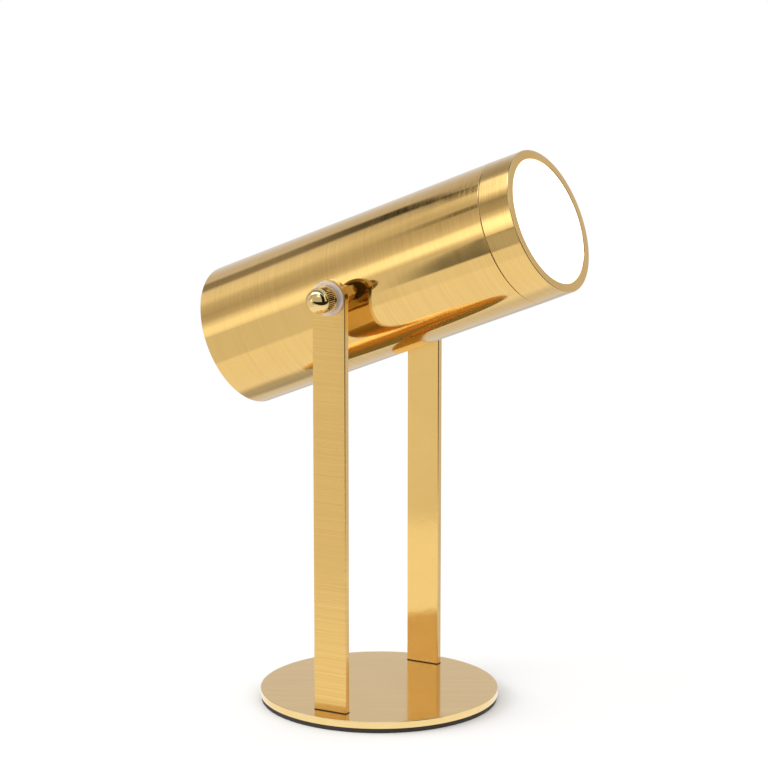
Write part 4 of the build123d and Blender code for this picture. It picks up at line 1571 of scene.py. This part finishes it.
@dataclass
class Studio:
    """A plain pale floor, soft light and the camera. Its fades are written as span reads them."""

    camera_distance: float = 1.4834
    camera_height: float = 0.46794
    camera_azimuth: float = 28.998
    camera_yaw: float = -0.104
    camera_pitch: float = -10.983
    focal_length: float = 127.95
    sensor_width: float = 36.0
    camera_clip: Point2 = (0.05, 50.0)
    floor_size: float = 12.0
    floor_white: float = 0.90
    shadow_fade: Fade = (0.18, 0.30, (0.0, 1.0))  # from the lamp, to the plain white floor
    dim_side: Triple = (0.872, -0.491, 0.0)  # the way to the dimmer part of the studio
    table_far: Fade = (0.05, 0.12, (0.80, 0.92))  # the level of the table's far part
    table_near: Point2 = (0.30, 0.34)  # from the lamp, where that part starts
    dim_start: Fade = (0.073, 0.148, (0.0, 1.0))  # of the table's dim part
    dim_end: Fade = (0.17, 0.21, (1.0, 0.5))
    table_edge: Fade = (0.56, 0.64, (0.0, 0.80))  # from the lamp, to its end
    table_front: Fade = (-0.05, 0.0, (1.0, 0.0))
    room_edge: Fade = (0.375, 0.475, (0.0, 0.97))  # to the dark room, on the dim side
    back_start: Fade = (0.02, 0.10, (0.0, 1.0))  # of the painted shadow behind the lamp
    back_dim: Fade = (0.10, 0.16, (0.26, 0.12))
    shade_centre: Triple = (-0.093, 0.042, 0.0)  # of the shade under the head
    shade: Fade = (0.022, 0.066, (0.52, 1.0))
    bands_meet: tuple[Point2, ...] = ((-0.53, -0.48), (-0.460, -0.450), (-0.42, -0.36))
    flag_rear: Fade = (-0.545, -0.505, (3.5, 0.0))  # how the flag turns, in degrees
    flag_front: Fade = (-0.484, -0.464, (-17.5, -3.0))
    flag_core: float = 5.0  # half the flag's dark width, in degrees
    flag_reach: Fade = (-0.51, -0.47, (13.0, 10.0))  # half its width with its soft edge
    flag_depth: Fade = (-0.53, -0.48, (0.58, 0.97))
    flag_end: Fade = (-0.459, -0.451, (1.0, 0.0))
    gap_turns: Triple = (26.0, 33.0, 2.0)  # a dark gap's start, end and soft edge
    gap_along: Triple = (-0.480, -0.462, 0.006)
    stand: Panel = Panel(0.985, (34.0, 64.0), (-0.1, 0.96))  # a dark lamp stand
    room: Panel = Panel(0.97, (-47.0, 106.0), (-0.2, 0.02))  # the dark end of the room
    warm_dark: Colour = (1.0, 0.93, 0.86)  # the colour of the studio's dark parts
    cool_dark: Colour = (0.84, 1.0, 1.20)  # the colours of its ceiling
    cool_bright: Colour = (0.90, 1.03, 1.55)
    cool_levels: Point2 = (0.9, 2.2)  # the levels of light that those colours stand for
    cool_heights: Point2 = (0.5, 0.65)
    soft_light: float = 1.02  # the level that what isn't glossy sees
    side_light: float = 3.0  # and what comes on top from one side
    side_way: Triple = (-0.84, -0.47, 0.30)
    side_reach: Point2 = (0.80, 0.97)
    soft_boxes: tuple[Panel, ...] = (
        Panel(1.35, (-20.0, 24.0), (0.68, 0.93)),
        Panel(1.15, (72.0, 120.0), (0.10, 0.72)),
        Panel(0.58, (-66.0, -48.0), (0.16, 0.288), 0.003),
        Panel(2.00, (-66.0, -48.0), (0.289, 0.303), 0.003),
    )

    def camera(self) -> None:
        """Sets the camera up in front of the lamp, to its right and above it."""
        lens = bpy.data.cameras.new("camera")
        lens.lens = self.focal_length
        lens.sensor_width = self.sensor_width
        lens.clip_start, lens.clip_end = self.camera_clip
        camera = bpy.data.objects.new("camera", lens)
        around = math.radians(self.camera_azimuth)
        camera.location = (
            self.camera_distance * math.sin(around),
            -self.camera_distance * math.cos(around),
            self.camera_height,
        )
        camera.rotation_euler = (
            math.radians(90.0 + self.camera_pitch),
            0.0,
            math.radians(self.camera_azimuth + self.camera_yaw),
        )
        bpy.context.scene.collection.objects.link(camera)
        bpy.context.scene.camera = camera

    def table(self, graph: MaterialGraph) -> Socket:
        """Works out the floor's painted level in the metal: a bright table, dimmer parts, its end
        and painted shadows.

        Args:
            graph: the floor's material.

        Returns:
            The level.
        """
        split = graph.node("ShaderNodeSeparateXYZ", in0=graph.place)
        distance = graph.vector("LENGTH", graph.place)
        aside = graph.vector("DOT_PRODUCT", graph.place, self.dim_side)
        far = graph.span(aside, *self.table_far)
        level = graph.span(distance, *self.table_near, (1.0, far))
        dim = graph.times(
            graph.times(graph.span(aside, *self.dim_start), graph.span(aside, *self.dim_end)),
            graph.times(
                graph.span(distance, *self.table_edge),
                graph.span(split.outputs[1], *self.table_front),
            ),
        )
        # painted shadow of the lamp on the floor behind it
        behind = graph.times(
            graph.span(split.outputs[1], *self.back_start),
            graph.span(split.outputs[0], *self.back_dim),
        )
        for share in (dim, graph.span(aside, *self.room_edge), behind):
            level = graph.less(level, share)
        # painted shadow under the head
        under = graph.vector("DISTANCE", graph.place, self.shade_centre)
        return graph.times(level, graph.span(under, *self.shade))

    def floor(self) -> None:
        """Lays the floor, white with the lamp's soft shadow, and a table of painted light and
        painted shadows that the metal shows.
        """
        half = self.floor_size / 2
        corners = [(-half, -half, 0.0), (half, -half, 0.0), (half, half, 0.0), (-half, half, 0.0)]
        mesh = bpy.data.meshes.new("floor")
        mesh.from_pydata(corners, [], [(0, 1, 2, 3)])
        floor = link("floor", mesh)
        graph = MaterialGraph("floor_pale")
        paint = graph.node("ShaderNodeBsdfDiffuse", Color=(*(self.floor_white,) * 3, 1.0))
        white = graph.node("ShaderNodeEmission", Color=(*WHITE, 1.0), Strength=1.0)
        away = graph.span(graph.vector("LENGTH", graph.place), *self.shadow_fade)
        seen = graph.node(
            "ShaderNodeMixShader", in0=away, in1=paint.outputs[0], in2=white.outputs[0]
        )
        # Glossy rays see the floor glow with painted light at these levels, painted shadows
        # included.
        table = graph.node(
            "ShaderNodeEmission", Color=(*WHITE, 1.0), Strength=self.table(graph)
        )
        mirrored = graph.node(
            "ShaderNodeMixShader",
            in0=graph.node("ShaderNodeLightPath").outputs["Is Glossy Ray"],
            in1=seen.outputs[0],
            in2=table.outputs[0],
        )
        floor.data.materials.append(graph.surface(mirrored.outputs[0]))

    def head_bands(self, graph: Graph, way: Socket, along: Socket) -> Socket:
        """Lays strip lights and dark flags along the head.

        Args:
            graph: the world's graph.
            way: the ray's direction.
            along: how far it points along the head.

        Returns:
            The level of light.
        """
        across = graph.vector("DOT_PRODUCT", way, tuple(-LEFTWARD))
        up = graph.vector("DOT_PRODUCT", way, tuple(UP_NORMAL))
        angle = graph.times(graph.math("ARCTAN2", across, up), math.degrees(1.0))
        share = graph.plus(graph.math("DIVIDE", angle, 360.0), 0.5)
        light, *others = [
            graph.ramp(share, [(0.5 + at / 360.0, (level,) * 3) for at, level in stops])
            for stops in (BEHIND, AHEAD, COLLAR, BEYOND)
        ]
        for (start, end), band in zip(self.bands_meet, others, strict=True):
            light = graph.blend(graph.span(along, start, end), light, band)
        flag_angle = graph.plus(
            graph.span(along, *self.flag_rear), graph.span(along, *self.flag_front)
        )
        from_flag = graph.math("ABSOLUTE", graph.math("SUBTRACT", angle, flag_angle))
        reach = graph.span(along, *self.flag_reach)
        flag = graph.span(from_flag, self.flag_core, reach, (1.0, 0.0))
        depth = graph.times(
            graph.span(along, *self.flag_depth), graph.span(along, *self.flag_end)
        )
        gap = graph.times(
            graph.window(angle, *self.gap_turns), graph.window(along, *self.gap_along)
        )
        return graph.less(graph.less(light, graph.times(flag, depth)), gap)

    def wall(self, graph: Graph, way: Socket, height: Socket, light: Socket) -> Socket:
        """Stands a lamp stand, a dark room and soft boxes round the lamp.

        Args:
            graph: the world's graph.
            way: the ray's direction.
            height: how far it points up.
            light: the level of light without them.

        Returns:
            The level with them.
        """
        around = math.radians(self.camera_azimuth)
        facing = graph.vector("DOT_PRODUCT", way, (math.sin(around), -math.cos(around), 0.0))
        aside = graph.vector("DOT_PRODUCT", way, (math.cos(around), math.sin(around), 0.0))
        turn = graph.times(graph.math("ARCTAN2", aside, facing), math.degrees(1.0))

        def cover(panel: Panel) -> Socket:
            """One on a panel's stretch of the wall, and nought outside it."""
            across = graph.window(turn, *panel.turns, panel.soft_turn)
            return graph.times(across, graph.window(height, *panel.heights, panel.soft))

        for dark in (self.stand, self.room):
            light = graph.less(light, graph.times(cover(dark), dark.level))
        for box in self.soft_boxes:
            light = graph.math("MAXIMUM", light, graph.times(cover(box), box.level))
        return light

    def surroundings(self) -> None:
        """Makes the white studio, with the lights and flags that the metal shows."""
        world = bpy.data.worlds.new("studio")
        bpy.context.scene.world = world
        world.use_nodes = True
        graph = Graph(world.node_tree)
        way = graph.node("ShaderNodeTexCoord").outputs["Generated"]
        along = graph.vector("DOT_PRODUCT", way, tuple(FORWARD))
        height = graph.vector("DOT_PRODUCT", way, (0.0, 0.0, 1.0))
        light = self.wall(graph, way, height, self.head_bands(graph, way, along))
        warmth = graph.ramp(light, [(0.2, self.warm_dark), (1.0, WHITE)])
        overhead = graph.blend(
            graph.span(light, *self.cool_levels), self.cool_dark, self.cool_bright
        )
        cooler = graph.times(
            graph.span(along, *self.bands_meet[-1]), graph.span(height, *self.cool_heights)
        )
        to_side = graph.vector("DOT_PRODUCT", way, tuple(Vector(self.side_way).normalized()))
        soft = graph.plus(
            self.soft_light, graph.times(graph.span(to_side, *self.side_reach), self.side_light)
        )
        path = graph.node("ShaderNodeLightPath").outputs
        glossy = path["Is Glossy Ray"]
        white = graph.math(
            "MAXIMUM",
            path["Is Camera Ray"],
            graph.math("MAXIMUM", glossy, path["Is Transmission Ray"]),
        )
        pattern = graph.node("ShaderNodeMix", in0=glossy, in2=1.0, in3=light)
        strength = graph.node("ShaderNodeMix", in0=white, in2=soft, in3=pattern.outputs[0])
        glow = graph.node(
            "ShaderNodeBackground",
            Color=graph.blend(glossy, WHITE, graph.blend(cooler, warmth, overhead)),
            Strength=strength.outputs[0],
        )
        graph.node("ShaderNodeOutputWorld", Surface=glow.outputs[0])

    def build(self) -> None:
        """Makes the whole studio."""
        self.camera()
        self.floor()
        self.surroundings()
        bpy.context.scene.view_settings.view_transform = "Standard"


# ---------------------------------------------------------------- Main


def finish_carried_nodes(finishes: Finishes) -> None:
    """Gives each frame node that stays its finish, by the record's material slots.

    Args:
        finishes: the lamp's finishes.
    """
    slots = {part["node"]: part["material_slot"] for part in frame["record"]["subparts"]}
    for name, node in frame["nodes"].items():
        node.data.materials.clear()
        node.data.materials.append(finishes.by_slot[slots[name]])


def main() -> None:
    """Builds the lamp in order, from the base up, then the studio."""
    finishes = Finishes()
    finish_carried_nodes(finishes)
    Base(finishes).build()
    for side in Side:
        Upright(finishes, side).build()
        Pivot(finishes, side).build()
        ClampKnob(finishes, side, knurl_tool()).build()
    Head(finishes).build()
    LightEngine(finishes, rings_tool()).build()
    CapScrews(finishes, pair_tool()).build()
    Studio().build()


if __name__ == "__main__":
    main()
